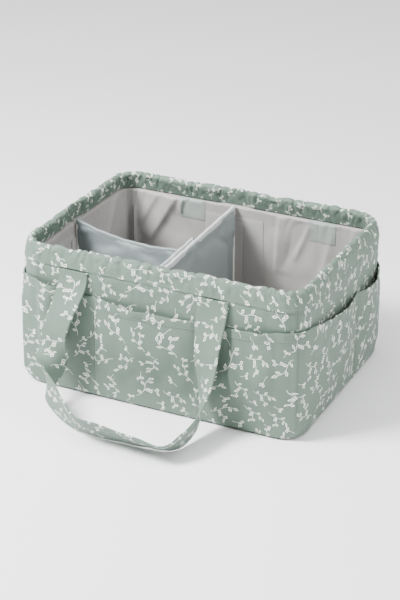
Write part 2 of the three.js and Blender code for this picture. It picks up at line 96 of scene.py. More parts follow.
white_paper = bpy.data.materials.new("white_paper")
white_paper.use_nodes = True
shader = white_paper.node_tree.nodes["Principled BSDF"]
shader.inputs["Base Color"].default_value = (0.9, 0.9, 0.905, 1)
shader.inputs["Roughness"].default_value = 0.5
FLOOR_SIZE, FLOOR_HEIGHT = 200, -0.0005  # so wide that its far edge is never seen
bpy.ops.mesh.primitive_plane_add(size=FLOOR_SIZE, location=(0, 0, FLOOR_HEIGHT))
floor = bpy.context.object
floor.name = "floor"
floor.data.materials.append(white_paper)

MIDDLE = (0, 0, 0.08)
area_light("softbox_left", (-0.9, -0.85, 1.45), MIDDLE, 0.6, 112)
area_light("softbox_right", (2.0, -0.2, 1.1), MIDDLE, 1.0, 34)

CEILING_STRENGTH, CEILING_SPREAD, SURROUNDINGS = 3.2, 1.2, 0.18
ceiling_light = bpy.data.lights.new("ceiling_light", "SUN")
ceiling_light.energy = CEILING_STRENGTH
ceiling_light.angle = CEILING_SPREAD
linked("ceiling_light", ceiling_light)

world = bpy.context.scene.world or bpy.data.worlds.new("studio")
bpy.context.scene.world = world
world.use_nodes = True
background = world.node_tree.nodes["Background"]
background.inputs["Color"].default_value = (1, 1, 1, 1)
background.inputs["Strength"].default_value = SURROUNDINGS
print("lights:", [light.name for light in bpy.data.lights])

# %% [markdown]
# ## Materials
# Every finish is built from nodes. A few effects are shared: the woven threads, a soft unevenness of colour,
# and the leafy print. Each is a node group with named inputs and outputs, made once and placed in each
# material with that material's own values. Patterns follow the cloth, so they read its UV map, in metres.


# %% Adding and joining nodes
class Tree:
    """Adds nodes to one tree and joins their sockets."""

    def __init__(self, tree):
        self.tree = tree

    def add(self, kind, **settings):
        node = self.tree.nodes.new(kind)
        for name, value in settings.items():
            setattr(node, name, value)
        return node

    def feed(self, socket, value):
        if isinstance(value, bpy.types.NodeSocket):
            self.tree.links.new(value, socket)
        else:
            socket.default_value = value


print("a tree can:", [name for name in vars(Tree) if name[0] != "_"])


# %% Short names for nodes
class Nodes(Tree):
    """Shorthands for the nodes that the effects are built from."""

    def math(self, operation, *values, clamp=False):
        node = self.add("ShaderNodeMath", operation=operation, use_clamp=clamp)
        for socket, value in zip(node.inputs, values):
            self.feed(socket, value)
        return node.outputs[0]

    def product(self, first, *others):
        for other in others:
            first = self.math("MULTIPLY", first, other)
        return first

    def vector(self, operation, *values):
        node = self.add("ShaderNodeVectorMath", operation=operation)
        for socket, value in zip(node.inputs, values):
            self.feed(socket, value)
        return node.outputs[0]

    def scaled(self, vector, factor):
        node = self.add("ShaderNodeVectorMath", operation="SCALE")
        self.feed(node.inputs[0], vector)
        self.feed(node.inputs["Scale"], factor)
        return node.outputs[0]

    def split(self, vector):
        node = self.add("ShaderNodeSeparateXYZ")
        self.feed(node.inputs[0], vector)
        return node.outputs[0], node.outputs[1]

    def join(self, x, y):
        node = self.add("ShaderNodeCombineXYZ")
        self.feed(node.inputs[0], x)
        self.feed(node.inputs[1], y)
        return node.outputs[0]

    def step(self, value, low, high):
        """0 below low and 1 above high, with a soft change between them."""
        node = self.add("ShaderNodeMapRange", interpolation_type="SMOOTHSTEP")
        for name, given in (("Value", value), ("From Min", low), ("From Max", high)):
            self.feed(node.inputs[name], given)
        return node.outputs[0]

    def fall(self, value, low, high):
        """1 below low and 0 above high."""
        return self.math("SUBTRACT", 1, self.step(value, low, high))

    def mix(self, factor, first, second):
        node = self.add("ShaderNodeMix", data_type="RGBA")
        self.feed(node.inputs[0], factor)
        self.feed(node.inputs[6], first)
        self.feed(node.inputs[7], second)
        return node.outputs[2]

    def noise(self, vector, scale, detail=2.0):
        node = self.add("ShaderNodeTexNoise")
        self.feed(node.inputs["Vector"], vector)
        node.inputs["Scale"].default_value = scale
        node.inputs["Detail"].default_value = detail
        return node.outputs["Fac"]

    def group(self, tree, **values):
        node = self.add("ShaderNodeGroup", node_tree=tree)
        for name, value in values.items():
            self.feed(node.inputs[name.replace("_", " ")], value)
        return node


print("shorthands:", [name for name in vars(Nodes) if name[0] != "_"])


# %% Groups and colours
def new_group(name, inputs, outputs):
    """An empty shader group, its Nodes, its input sockets by name, and its output node."""
    tree = bpy.data.node_groups.new(name, "ShaderNodeTree")
    for socket, kind, value in inputs:
        made = tree.interface.new_socket(socket, in_out="INPUT", socket_type=kind)
        if value is not None:
            made.default_value = value
    for socket, kind in outputs:
        tree.interface.new_socket(socket, in_out="OUTPUT", socket_type=kind)
    nodes = Nodes(tree)
    given = nodes.add("NodeGroupInput").outputs
    return tree, nodes, given, nodes.add("NodeGroupOutput")


FLOAT, VECTOR, COLOUR = "NodeSocketFloat", "NodeSocketVector", "NodeSocketColor"


def rgb(red, green, blue):
    """A colour as a colour picker gives it, from 0 to 255, in the linear values that shaders use."""
    channels = [c / 255 for c in (red, green, blue)]
    return (*[c / 12.92 if c <= 0.04045 else ((c + 0.055) / 1.055) ** 2.4 for c in channels], 1)


print("middle grey in linear values:", round(rgb(128, 128, 128)[0], 3))

# %% [markdown]
# ### The leafy print
# The cloth is printed with little white sprigs. A picture of them could be laid on the cloth, but one drawn
# by nodes has no edge, no repeat and no fixed fineness. Leaves on a plain grid would look stamped, so the
# print is built up: a leaf is an outlined almond, a branch is a wavy stem with leaves on alternate sides,
# and a sprig is a branch with a twig. The plane is cut into cells, and each cell turns its sprig its own way.
# Folding the plane over the stem lets one leaf drawing serve both of its sides.

# %% Leaf
LEAF_LINE = 0.54  # millimetres, as are all sizes in the print
SOFTNESS = 0.22
LEAF_FULLNESS = 0.75  # below 1 the leaf is fuller at its foot
LEAF_POINTEDNESS = 1.3  # above 1 its ends are sharper
HOLLOWNESS = 0.85

leaf_group, n, given, out = new_group(
    "outlined_leaf",
    [("Along", FLOAT, 0), ("Across", FLOAT, 0), ("Length", FLOAT, 4.7), ("Width", FLOAT, 3.0)],
    [("Mask", FLOAT)],
)
share = n.math("DIVIDE", given["Along"], given["Length"])
within = n.product(n.step(share, 0, 0.02), n.fall(share, 0.98, 1))
fuller_foot = n.math("POWER", n.math("MAXIMUM", share, 0), LEAF_FULLNESS)
arch = n.math("MAXIMUM", n.math("SINE", n.product(fuller_foot, math.pi)), 0)
half = n.product(given["Width"], 0.5, n.math("POWER", arch, LEAF_POINTEDNESS))
edge = n.math("SUBTRACT", n.math("ABSOLUTE", given["Across"]), half)
filled = n.fall(edge, 0, SOFTNESS)
hollow = n.fall(edge, -LEAF_LINE - SOFTNESS, -LEAF_LINE)
outline = n.math("SUBTRACT", filled, n.product(hollow, HOLLOWNESS), clamp=True)
n.feed(out.inputs["Mask"], n.product(outline, within))
print("leaf nodes:", len(leaf_group.nodes))

# %% Branch
STEM_EDGE = 0.15  # from its middle line
STEM_STRENGTH = 0.75
STEM_WAVE = 2.4
STALK, END_LEAF = 1.6, 5.1
LEAF_ANGLE = math.radians(52)
LEAF_SHIFT = 2.6  # a side leaf starts this far back along the stem, so that it stays in its own stretch

branch_group, n, given, out = new_group(
    "leafy_branch",
    [
        ("Along", FLOAT, 0), ("Across", FLOAT, 0), ("Half length", FLOAT, 15),
        ("Spacing", FLOAT, 10), ("Bend", FLOAT, 3),
    ],
    [("Mask", FLOAT)],
)
wave = n.math("SINE", n.product(n.math("DIVIDE", given["Along"], given["Half length"]), STEM_WAVE))
across = n.math("SUBTRACT", given["Across"], n.product(wave, given["Bend"]))
beside = n.math("ABSOLUTE", across)
short_of_end = n.math("LESS_THAN", n.math("ABSOLUTE", given["Along"]), given["Half length"])
stem = n.product(n.fall(beside, STEM_EDGE, STEM_EDGE + SOFTNESS), short_of_end, STEM_STRENGTH)
print("stem nodes:", len(branch_group.nodes))

# %% Leaves beside the stem
stagger = n.product(n.math("GREATER_THAN", across, 0), n.product(given["Spacing"], 0.5))
shifted = n.math("ADD", given["Along"], stagger)
place = n.product(n.math("ROUND", n.math("DIVIDE", shifted, given["Spacing"])), given["Spacing"])
along_leaf = n.math("ADD", n.math("SUBTRACT", shifted, place), LEAF_SHIFT)
leaf_base = n.math("ABSOLUTE", n.math("SUBTRACT", place, n.math("ADD", stagger, LEAF_SHIFT)))
leaf_exists = n.math("LESS_THAN", leaf_base, n.math("SUBTRACT", given["Half length"], 1))
cosine, sine = math.cos(LEAF_ANGLE), math.sin(LEAF_ANGLE)
turned_along = n.math("ADD", n.product(along_leaf, cosine), n.product(beside, sine))
turned_across = n.math("SUBTRACT", n.product(beside, cosine), n.product(along_leaf, sine))
past_stalk = n.math("SUBTRACT", turned_along, STALK)
side_leaf = n.group(leaf_group, Along=past_stalk, Across=turned_across).outputs[0]
on_stalk = n.fall(n.math("ABSOLUTE", turned_across), STEM_EDGE, STEM_EDGE + SOFTNESS)
in_stalk = n.product(n.math("LESS_THAN", turned_along, STALK), n.math("GREATER_THAN", turned_along, 0))
side_parts = n.product(n.math("MAXIMUM", side_leaf, n.product(on_stalk, in_stalk)), leaf_exists)
past_end = n.math("SUBTRACT", given["Along"], given["Half length"])
end_leaf = n.group(leaf_group, Along=past_end, Across=across, Length=END_LEAF).outputs[0]
n.feed(out.inputs["Mask"], n.math("MAXIMUM", n.math("MAXIMUM", stem, side_parts), end_leaf))
print("branch nodes:", len(branch_group.nodes))

# %% Sprigs over the plane
CELL = 34.0
DRIFT, DRIFT_SIZE = 26, 62.5  # how far a slow noise shifts the sprigs, and how wide its waves are
SPRIG_LAYERS = [  # offset of the cells, then the branches: half length, spacing, bend, turn, place
    ((0.0, 0.0), [(13.5, 11.6, 2.8, 0.0, -1.5), (5.2, 10.5, 0.9, 1.25, 6.5)]),
    ((0.5, 0.5), [(3.6, 9.6, 0.8, 0.0, -1.0)]),
]
print_group, n, given, out = new_group("sprig_print", [("Place", VECTOR, (0, 0, 0))], [("Mask", FLOAT)])
plane = n.vector("MULTIPLY", given["Place"], (1000, 1000, 0))
drift = n.add("ShaderNodeTexNoise", noise_dimensions="2D")
n.feed(drift.inputs["Vector"], plane)
drift.inputs["Scale"].default_value = 1 / DRIFT_SIZE
drift.inputs["Detail"].default_value = 0
wander = n.vector("SUBTRACT", drift.outputs["Color"], (0.5, 0.5, 0))
wander = n.vector("MULTIPLY", wander, (DRIFT, DRIFT, 0))
plane = n.vector("ADD", plane, wander)
masks = []
for (shift_x, shift_y), branches in SPRIG_LAYERS:
    x, y = n.split(n.vector("ADD", n.vector("DIVIDE", plane, (CELL, CELL, 1)), (shift_x, shift_y, 0)))
    row = n.math("FLOOR", y)
    x = n.math("ADD", x, n.product(n.math("FLOORED_MODULO", row, 2), 0.5))
    column = n.math("FLOOR", x)
    chance = n.add("ShaderNodeTexWhiteNoise", noise_dimensions="2D")
    n.feed(chance.inputs["Vector"], n.join(column, row))
    local_x = n.product(n.math("SUBTRACT", n.math("SUBTRACT", x, column), 0.5), CELL)
    local_y = n.product(n.math("SUBTRACT", n.math("SUBTRACT", y, row), 0.5), CELL)
    for half_length, spacing, bend, turn, place in branches:
        turned = n.add("ShaderNodeVectorRotate", rotation_type="Z_AXIS")
        n.feed(turned.inputs["Vector"], n.join(local_x, local_y))
        angle = n.math("ADD", n.product(chance.outputs["Value"], 2 * math.pi), turn)
        n.feed(turned.inputs["Angle"], angle)
        along, across = n.split(turned.outputs[0])
        branch = n.group(
            branch_group, Along=n.math("SUBTRACT", along, place), Across=across,
            Half_length=half_length, Spacing=spacing, Bend=bend,
        )
        masks.append(branch.outputs[0])
mask = masks[0]
for other in masks[1:]:
    mask = n.math("MAXIMUM", mask, other)
n.feed(out.inputs["Mask"], mask)
print("print nodes:", sum(len(g.nodes) for g in (leaf_group, branch_group, print_group)))

# %% [markdown]
# ### Weave and unevenness
# A woven cloth shows its threads only up close. They cross like a small chequer, each thread rounded, so
# two sine waves and a chequer that swaps them make the height. Printed cotton is a plain weave with threads
# about 0.4 mm apart. The satins have finer threads. Real dyeing is never quite even, so a slow noise
# lightens and darkens every cloth by a few percent.

# %% Weave and mottle groups
weave_group, n, given, out = new_group(
    "woven_threads", [("Place", VECTOR, (0, 0, 0)), ("Threads", FLOAT, 2500)], [("Height", FLOAT)]
)
x, y = n.split(n.scaled(given["Place"], given["Threads"]))
rounded = [n.math("ABSOLUTE", n.math("SINE", n.product(v, math.pi))) for v in (x, y)]
parity = n.math("FLOORED_MODULO", n.math("ADD", n.math("FLOOR", x), n.math("FLOOR", y)), 2)
over = n.product(rounded[0], parity)
under = n.product(rounded[1], n.math("SUBTRACT", 1, parity))
n.feed(out.inputs["Height"], n.math("ADD", over, under))

mottle_group, n, given, out = new_group(
    "uneven_dye",
    [("Place", VECTOR, (0, 0, 0)), ("Colour", COLOUR, (1, 1, 1, 1)), ("Amount", FLOAT, 0.08)],
    [("Colour", COLOUR)],
)
slow = n.product(n.noise(given["Place"], 22, 3), 1.4)
fine = n.product(n.noise(given["Place"], 900, 1), 0.6)
change = n.product(n.math("SUBTRACT", n.math("ADD", slow, fine), 1), given["Amount"])
n.feed(out.inputs["Colour"], n.scaled(given["Colour"], n.math("ADD", 1, change)))
print("weave and mottle nodes:", len(weave_group.nodes) + len(mottle_group.nodes))

# %% Cloth materials
UV_NAME = "cloth"


def new_material(name):
    """A material, its Nodes and its shader."""
    material = bpy.data.materials.new(name)
    material.use_nodes = True
    return material, Nodes(material.node_tree), material.node_tree.nodes["Principled BSDF"]


def surface(nodes, shader, colour, roughness, change, height, bump, depth):
    """Colour, a roughness that changes with the height of the grain, and the grain as bump."""
    nodes.feed(shader.inputs["Base Color"], colour)
    nodes.feed(shader.inputs["Roughness"], nodes.math("ADD", roughness, nodes.product(height, change)))
    lift = nodes.add("ShaderNodeBump")
    lift.inputs["Strength"].default_value = bump
    lift.inputs["Distance"].default_value = depth * MM
    nodes.feed(lift.inputs["Height"], height)
    nodes.feed(shader.inputs["Normal"], lift.outputs[0])


SHEEN_ROUGHNESS = 0.4
DYE_CHANGE, WEAVE_DEPTH, WEAVE_ROUGHNESS = 0.09, 0.12, 0.08


def cloth_material(name, colour, roughness, threads, bump, sheen, printed=False, nap=False):
    material, nodes, shader = new_material(name)
    place = nodes.add("ShaderNodeUVMap", uv_map=UV_NAME).outputs[0]
    dyed = nodes.group(mottle_group, Place=place, Colour=colour, Amount=DYE_CHANGE).outputs[0]
    height = nodes.group(weave_group, Place=place, Threads=threads).outputs[0]
    if printed:
        mask = nodes.group(print_group, Place=place).outputs[0]
        dyed = nodes.mix(mask, dyed, PRINT_WHITE)
        height = nodes.math("ADD", height, nodes.product(mask, 0.25))
    if nap:
        height = nodes.math("ADD", height, nodes.product(nodes.noise(place, 1600, 3), 3))
    surface(nodes, shader, dyed, roughness, WEAVE_ROUGHNESS, height, bump, WEAVE_DEPTH)
    shader.inputs["Sheen Weight"].default_value = sheen
    shader.inputs["Sheen Roughness"].default_value = SHEEN_ROUGHNESS
    return material


print("a cloth reads the UV map named", UV_NAME)

# %% The cloths
PRINT_WHITE = rgb(250, 252, 248)
printed_cloth = cloth_material("sprig_printed_cotton", rgb(94, 113, 101), 0.62, 2500, 0.5, 0.1, printed=True)
lining_satin = cloth_material("grey_lining_satin", rgb(158, 155, 153), 0.5, 3600, 0.35, 0.1)
divider_satin = cloth_material("blue_grey_satin", rgb(121, 131, 132), 0.42, 3600, 0.3, 0.12)
edge_satin = cloth_material("pale_edge_satin", rgb(200, 203, 204), 0.45, 3600, 0.3, 0.12)
patch_satin = cloth_material("pale_patch_satin", rgb(143, 152, 147), 0.5, 3600, 0.3, 0.1)
fastener_nap = cloth_material("fastener_nap", rgb(164, 162, 161), 0.85, 1400, 0.9, 0.2, nap=True)
thread_cotton = cloth_material("sewing_thread", rgb(128, 145, 135), 0.6, 2500, 0.2, 0.15)
print("cloths:", [m.name for m in bpy.data.materials if m.node_tree and "UV Map" in m.node_tree.nodes])


# %% Foam, board and elastic
GRAIN_CHANGE, GRAIN_DEPTH, GRAIN_ROUGHNESS = 0.12, 0.3, 0.1


def object_material(name, colour, roughness, scale, bump, stretch=(1, 1, 1)):
    """A finish for the hidden pieces, with grain that reads Object coordinates."""
    material, nodes, shader = new_material(name)
    place = nodes.vector("MULTIPLY", nodes.add("ShaderNodeTexCoord").outputs["Object"], stretch)
    grain = nodes.noise(place, scale, 3)
    dyed = nodes.group(mottle_group, Place=place, Colour=colour, Amount=GRAIN_CHANGE).outputs[0]
    surface(nodes, shader, dyed, roughness, GRAIN_ROUGHNESS, grain, bump, GRAIN_DEPTH)
    return material


white_foam = object_material("open_cell_foam", rgb(232, 232, 226), 0.85, 1100, 0.8)
grey_board = object_material("pressed_board", rgb(120, 120, 122), 0.7, 500, 0.4)
ribbed_elastic = object_material("ribbed_elastic", rgb(238, 238, 235), 0.8, 900, 0.7, (0.15, 0.15, 1))

HIDDEN_FINISHES = {  # by the last word of the node's name
    "foam": white_foam, "board": grey_board, "elastic": ribbed_elastic, "hook": fastener_nap,
}
for node_name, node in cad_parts.items():
    hidden_finish = HIDDEN_FINISHES.get(node_name.split("_")[-1])
    if hidden_finish:
        node.data.materials.clear()
        node.data.materials.append(hidden_finish)
        print("kept from the frame:", node_name)

# %% [markdown]
# ## Coordinates round the basket
# The walls are one band of cloth that runs round a rounded rectangle. So a place on them has three simple
# numbers: how far round the basket, how high, and how deep from the outer face inwards. Folds and gathers
# are written in these numbers, and one function turns them into points. The long sides lean in a little,
# and above the stitched line the elastic draws the whole rim inwards.

# %% Measures of the basket
LENGTH, WIDTH, CORNER = 360, 268, 28
RIM_TOP, LEAN, FOOT_ROUNDING = 181, 4, 6
CASING_FOOT, RIM_DRAW = 158.5, 4
SEAM_GAP = 0.3
CROSS_X, LONG_Y = -17, -8  # middle planes of the dividers
TAPES = {"front": CROSS_X, "back": -CROSS_X, "left": -LONG_Y}  # middles of the fastener strips

LONG_HALF, END_HALF = LENGTH / 2 - CORNER, WIDTH / 2 - CORNER
ARC = CORNER * math.pi / 2
STRETCHES = np.array([2 * LONG_HALF, ARC, 2 * END_HALF, ARC] * 2)
BREAKS = np.concatenate([[0], np.cumsum(STRETCHES)]) - LONG_HALF
GIRTH = STRETCHES.sum()
SIDE_NAMES = ["front", "right", "back", "left"]
LONG_SIDES = ("front", "back")
SIDE_CENTRES = dict(zip(SIDE_NAMES, [(BREAKS[k] + BREAKS[k + 1]) / 2 for k in (0, 2, 4, 6)]))
SIDE_HALVES = dict(zip(SIDE_NAMES, [LONG_HALF, END_HALF, LONG_HALF, END_HALF]))
print("girth of the basket:", round(GIRTH), "mm")

# %% Places on the wall
NORMAL_ANGLES = np.radians([-90, -90, 0, 0, 90, 90, 180, 180, 270])  # at the ends of the stretches
CORNER_X = [-1, 1, 1, 1, 1, -1, -1, -1, -1]
CORNER_Y = [-1, -1, -1, 1, 1, 1, 1, -1, -1]


def shorter_way(u):
    """A distance round the basket, taken the shorter way."""
    return (u + GIRTH / 2) % GIRTH - GIRTH / 2


def wall(u, z, depth):
    """Points in millimetres for places u round the basket, heights z, and depths inwards."""
    u, z, depth = np.broadcast_arrays(*(np.asarray(v, float) for v in (u, z, depth)))
    u = (u + LONG_HALF) % GIRTH - LONG_HALF
    lean = LEAN * z / RIM_TOP
    drawn = RIM_DRAW * np.clip(z - CASING_FOOT, 0, None) / (RIM_TOP - CASING_FOOT)
    rise = np.clip(FOOT_ROUNDING - z, 0, FOOT_ROUNDING)
    foot_inset = FOOT_ROUNDING - np.sqrt(FOOT_ROUNDING**2 - rise**2)
    angle = np.interp(u, BREAKS, NORMAL_ANGLES)
    out = CORNER - depth - foot_inset
    x = np.interp(u, BREAKS, CORNER_X) * (LONG_HALF - drawn) + out * np.cos(angle)
    y = np.interp(u, BREAKS, CORNER_Y) * (END_HALF - lean - drawn) + out * np.sin(angle)
    return np.stack([x, y, z], -1)


def side_span(side, gap=SEAM_GAP):
    """From one corner seam of a side to the next, as places round the basket."""
    reach = SIDE_HALVES[side] + ARC / 2 - gap / 2
    return SIDE_CENTRES[side] - reach, SIDE_CENTRES[side] + reach


print("middle of the front rim:", wall(0, RIM_TOP, 0).round(1))


# %% [markdown]
# ## From grids to pieces
# Each cloth is a thin closed sheet: a grid for its outer face, one for its inner face, and a strip round the
# border that joins them. A plane with a thickness modifier would do for even cloth, but here the two faces
# have their own relief. A sheet keeps its flat measure as a UV map, so the print lies on it at its real size.


# %% Sheets as meshes
def closed_sheet(outer, inner):
    """Points and faces of a sheet. Seen from outside, its columns run to the right and its rows up."""
    columns, rows = outer.shape[:2]
    count = columns * rows
    index = np.arange(count).reshape(columns, rows)
    corners = (index[:-1, :-1], index[1:, :-1], index[1:, 1:], index[:-1, 1:])
    face = np.stack(corners, -1).reshape(-1, 4)
    borders = (index[:, 0], index[::-1, -1], index[-1, :], index[0, ::-1])
    rims = [np.stack([b[1:], b[:-1], b[:-1] + count, b[1:] + count], -1) for b in borders]
    points = np.concatenate([outer.reshape(-1, 3), inner.reshape(-1, 3)])
    return points, np.concatenate([face, face[:, ::-1] + count, *rims])


def piece_from(name, points, faces, uv, material, smooth_angle=50):
    """An object at the origin with its place in its mesh. Points are in millimetres."""
    mesh = bpy.data.meshes.new(name)
    mesh.from_pydata((np.asarray(points) * MM).tolist(), [], np.asarray(faces).tolist())
    mesh.materials.append(material)
    loops = np.empty(len(mesh.loops), int)
    mesh.loops.foreach_get("vertex_index", loops)
    layer = mesh.uv_layers.new(name=UV_NAME)
    layer.data.foreach_set("uv", (np.asarray(uv, float)[loops] * MM).ravel())
    mesh.polygons.foreach_set("use_smooth", [True] * len(mesh.polygons))
    mesh.update()
    mesh.set_sharp_from_angle(angle=math.radians(smooth_angle))
    return linked(name, mesh)


def dress(piece, body, slot, *nodes):
    """The piece rides on a body and stands for the named nodes of the frame. The slot is not used."""
    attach(piece, body)
    if nodes:
        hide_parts(*nodes)
    return piece


def sheet_piece(name, outer, inner, uv, material):
    points, faces = closed_sheet(outer, inner)
    both_uv = np.concatenate([uv.reshape(-1, 2)] * 2)
    return piece_from(name, points, faces, both_uv, material)


print("a sheet of 2 by 2 points has", len(closed_sheet(*np.zeros((2, 2, 2, 3)))[1]), "faces")

# %% [markdown]
# ### Soft forms
# Cloth is never quite flat. Sculpting the folds by hand would look good once, but no number could change
# them. So all relief is written as functions of the place on the cloth: soft changes from one value to
# another, slow ripples that repeat round the basket, and ridges along lines that were seen in the photograph.


# %% Soft forms
def steps(start, end, spacing):
    """Evenly spaced values from start to end, about the spacing apart."""
    return np.linspace(start, end, max(2, round((end - start) / spacing) + 1))


def smooth_step(low, high, value):
    """0 below low and 1 above high, with a soft change between them."""
    t = np.clip((value - low) / (high - low), 0, 1)
    return t * t * (3 - 2 * t)


def soft_floor(value, softness):
    """The value where it is above 0, and a smooth change to 0 below."""
    return (value + np.sqrt(value**2 + softness**2)) / 2


def hump(value, middle, width):
    """A smooth hump, 1 at its middle."""
    return np.exp(-(((value - middle) / width) ** 2))


def distance_to(places, here):
    """Distance to the nearest of some places along one side."""
    return np.abs(here[..., None] - np.array(places)).min(-1)


def adding_up(lengths):
    """0 and the growing sums of the lengths."""
    return np.concatenate([[0], np.cumsum(lengths)])


print("a smooth step at a quarter of its way:", smooth_step(0, 1, 0.25))


# %% Ripples and folds
def ripples(u, z, wavelength, seed, count=14, tilt=1.0):
    """A slow unevenness from about -1 to 1 that repeats round the basket. Tilt 0 gives upright folds."""
    rng = np.random.default_rng(seed)
    total = np.zeros(np.broadcast(u, z).shape)
    for _ in range(count):
        direction = rng.uniform(-math.pi / 2, math.pi / 2) * tilt
        size = wavelength * rng.uniform(0.6, 1.7)
        turns = round(GIRTH / size * math.cos(direction))
        phase = rng.uniform(0, 2 * math.pi)
        total += np.cos(2 * math.pi * (turns * u / GIRTH + z * math.sin(direction) / size) + phase)
    return total / math.sqrt(count) / 1.4


def folds(lines, along, z):
    """Ridges along lines: start, end, width to the left and right, and rise. A negative rise is a crease."""
    total = np.zeros(np.broadcast(along, z).shape)
    for x0, z0, x1, z1, left, right, rise in lines:
        line_x, line_z = x1 - x0, z1 - z0
        long = math.hypot(line_x, line_z)
        share = ((along - x0) * line_x + (z - z0) * line_z) / long**2
        across = ((along - x0) * line_z - (z - z0) * line_x) / long
        taper = np.sqrt(np.sin(np.pi * np.clip(share, 0, 1)))
        total += rise * taper * np.exp(-np.abs(across / np.where(across > 0, left, right)) ** 1.4)
    return total


print("ripples reach", np.abs(ripples(steps(0, GIRTH, 5), 0, 70, 31)).max().round(2))

# %% [markdown]
# ## Gathers
# The rim holds an elastic that draws the cloth in. Gathers are creases with a rounded puff between each two.
# Cloth simulation could draw a real tube of cloth together, but it wouldn't put them where the photograph
# has them: close together at the ends and corners, and far apart on the long sides. So their places are
# drawn by chance round those distances. Each crease has its own strength, reach and lean. A seeded random
# generator gives the same gathers every time.

# %% Gather lines
SEAM_HEIGHT = 157  # the stitched line under the rim
CLOSE_SPACING, EVEN_SPACING, WIDE_SPACING = 9, 10.5, 19  # at the corners, on the ends, on the long sides
PLACE_SEED, STRENGTH_SEED = 11, 5


def gather_places():
    """Places of the creases round the basket. The corner seams are creases too."""
    rng = np.random.default_rng(PLACE_SEED)
    places = []
    for side in SIDE_NAMES:
        start, end = side_span(side, 0)
        here, found = start, [start]
        while here < end - 6:
            from_corner = min(here - start, end - here)
            wider = smooth_step(15, 75, from_corner)
            spacing = CLOSE_SPACING + (WIDE_SPACING - CLOSE_SPACING) * wider
            if side not in LONG_SIDES:
                spacing = EVEN_SPACING
            here += spacing * rng.uniform(0.6, 1.5)
            found.append(here)
        scale = (end - start) / (found[-1] - start)
        places += [start + (p - start) * scale for p in found[:-1]]
    return np.array([*places, places[0] + GIRTH])


GATHERS = gather_places()
gather_chance = np.random.default_rng(STRENGTH_SEED)
GATHER_LOW = gather_chance.uniform(0.45, 1, len(GATHERS))
GATHER_HIGH = gather_chance.uniform(0.25, 1, len(GATHERS))
GATHER_REACH = gather_chance.uniform(7, 30, len(GATHERS))
for strengths in (GATHER_LOW, GATHER_HIGH, GATHER_REACH):
    strengths[-1] = strengths[0]
print(len(GATHERS) - 1, "gathers round the rim")

# %% Puffs and creases
CREASE_WIDTH, FULL_PUFF = 1.7, 16  # the second is the spacing that gives a puff its full height


def gathers(u, z):
    """Puff between creases and depth of the nearest crease, each from 0 to about 1, on the wall cloth."""
    u = u + (z - SEAM_HEIGHT) * 0.4 * ripples(u, 0, 60, 21, tilt=0)
    u = (u - GATHERS[0]) % GIRTH + GATHERS[0]
    after = np.clip(np.searchsorted(GATHERS, u, side="right"), 1, len(GATHERS) - 1)
    before = after - 1
    spacing = GATHERS[after] - GATHERS[before]
    share = (u - GATHERS[before]) / spacing
    nearest = np.where(share < 0.5, before, after)
    distance = np.minimum(share, 1 - share) * spacing
    above = np.clip((z - SEAM_HEIGHT) / (RIM_TOP - SEAM_HEIGHT), 0, 1)
    strength = GATHER_LOW[nearest] * (1 - above) + GATHER_HIGH[nearest] * above
    below = np.clip(SEAM_HEIGHT - z, 0, None)
    fade = np.exp(-((below / GATHER_REACH[nearest]) ** 1.5))
    puff = np.sin(np.pi * share) ** 0.7 * np.clip(spacing / FULL_PUFF, 0.55, 1.25)
    crease = np.exp(-distance / CREASE_WIDTH) * strength
    return puff * fade, crease * fade


print("highest puff:", gathers(steps(0, GIRTH, 1), SEAM_HEIGHT)[0].max().round(2))

# %% [markdown]
# ## The wall cloth
# Above the pockets the wall cloth shows, puckered where it is sewn to the rim. A bump in the material would
# be lighter, but light from the side and the outline show that the puckers are real. So the grid itself
# swells. It goes out by up to 1.2 mm and never inwards, because the foam stands straight behind it. The
# swelling fades downwards.

# %% Wall cloth
SHELL_FOOT, SHELL_TOP, SHELL_CLOTH = 0.5, 161, 1.2
SHELL_SWELL = 1.25
WALL_STEP = 1.9  # between the columns of a grid
WALL_PRINT = 40  # each kind of piece has its own shift, so that the print doesn't run on from piece to piece


def wall_swell(u, z):
    """How far the wall cloth stands out from its flat place, in millimetres."""
    puff, crease = gathers(u, z)
    rising = smooth_step(105, 150, z)
    slow = 0.5 + 0.5 * ripples(u, z, 70, 31)
    fine = np.abs(ripples(u, z, 26, 32))
    at_seam = hump(z, SEAM_HEIGHT, 1.6)
    swell = rising * (0.25 + 0.5 * slow + 0.35 * fine) + 0.75 * puff * rising - 0.75 * crease
    return np.clip(swell - 0.8 * at_seam, 0, SHELL_SWELL)


for side in SIDE_NAMES:
    u = steps(*side_span(side), WALL_STEP)[:, None]
    z = np.concatenate([[SHELL_FOOT, 1.5, 3, 4.5], steps(6, 112, 8), steps(114, SHELL_TOP, 1.6)])[None, :]
    outer = wall(u, z, -wall_swell(u, z))
    inner = wall(u, z, SHELL_CLOTH + 0 * u)
    flat_uv = np.stack(np.broadcast_arrays(u + WALL_PRINT, z), -1)
    cloth = sheet_piece(f"{side}_wall_cloth", outer, inner, flat_uv, printed_cloth)
    dress(cloth, "basket", "printed_cloth", f"{side}_panel")
print("wall cloth:", len(cloth.data.vertices), "points on the last side")

# %% [markdown]
# ## Pockets
# Each side has one pocket cloth, sewn down at its seams and open along a folded hem. Between the seams it is
# a little too long, so it stands off the wall and its mouth gapes and sags. A strap presses it flat.
# The seams pull the cloth in, and short puckers run out from them. The large folds stand where the
# photograph has them. They can't be left to chance, because their shadows are what one sees first. So each is
# a line in a list, as place along the side and height at both ends, with widths and a rise. Round the
# corners the cloth runs a little straighter than the wall, which gives the basket its upright edges.

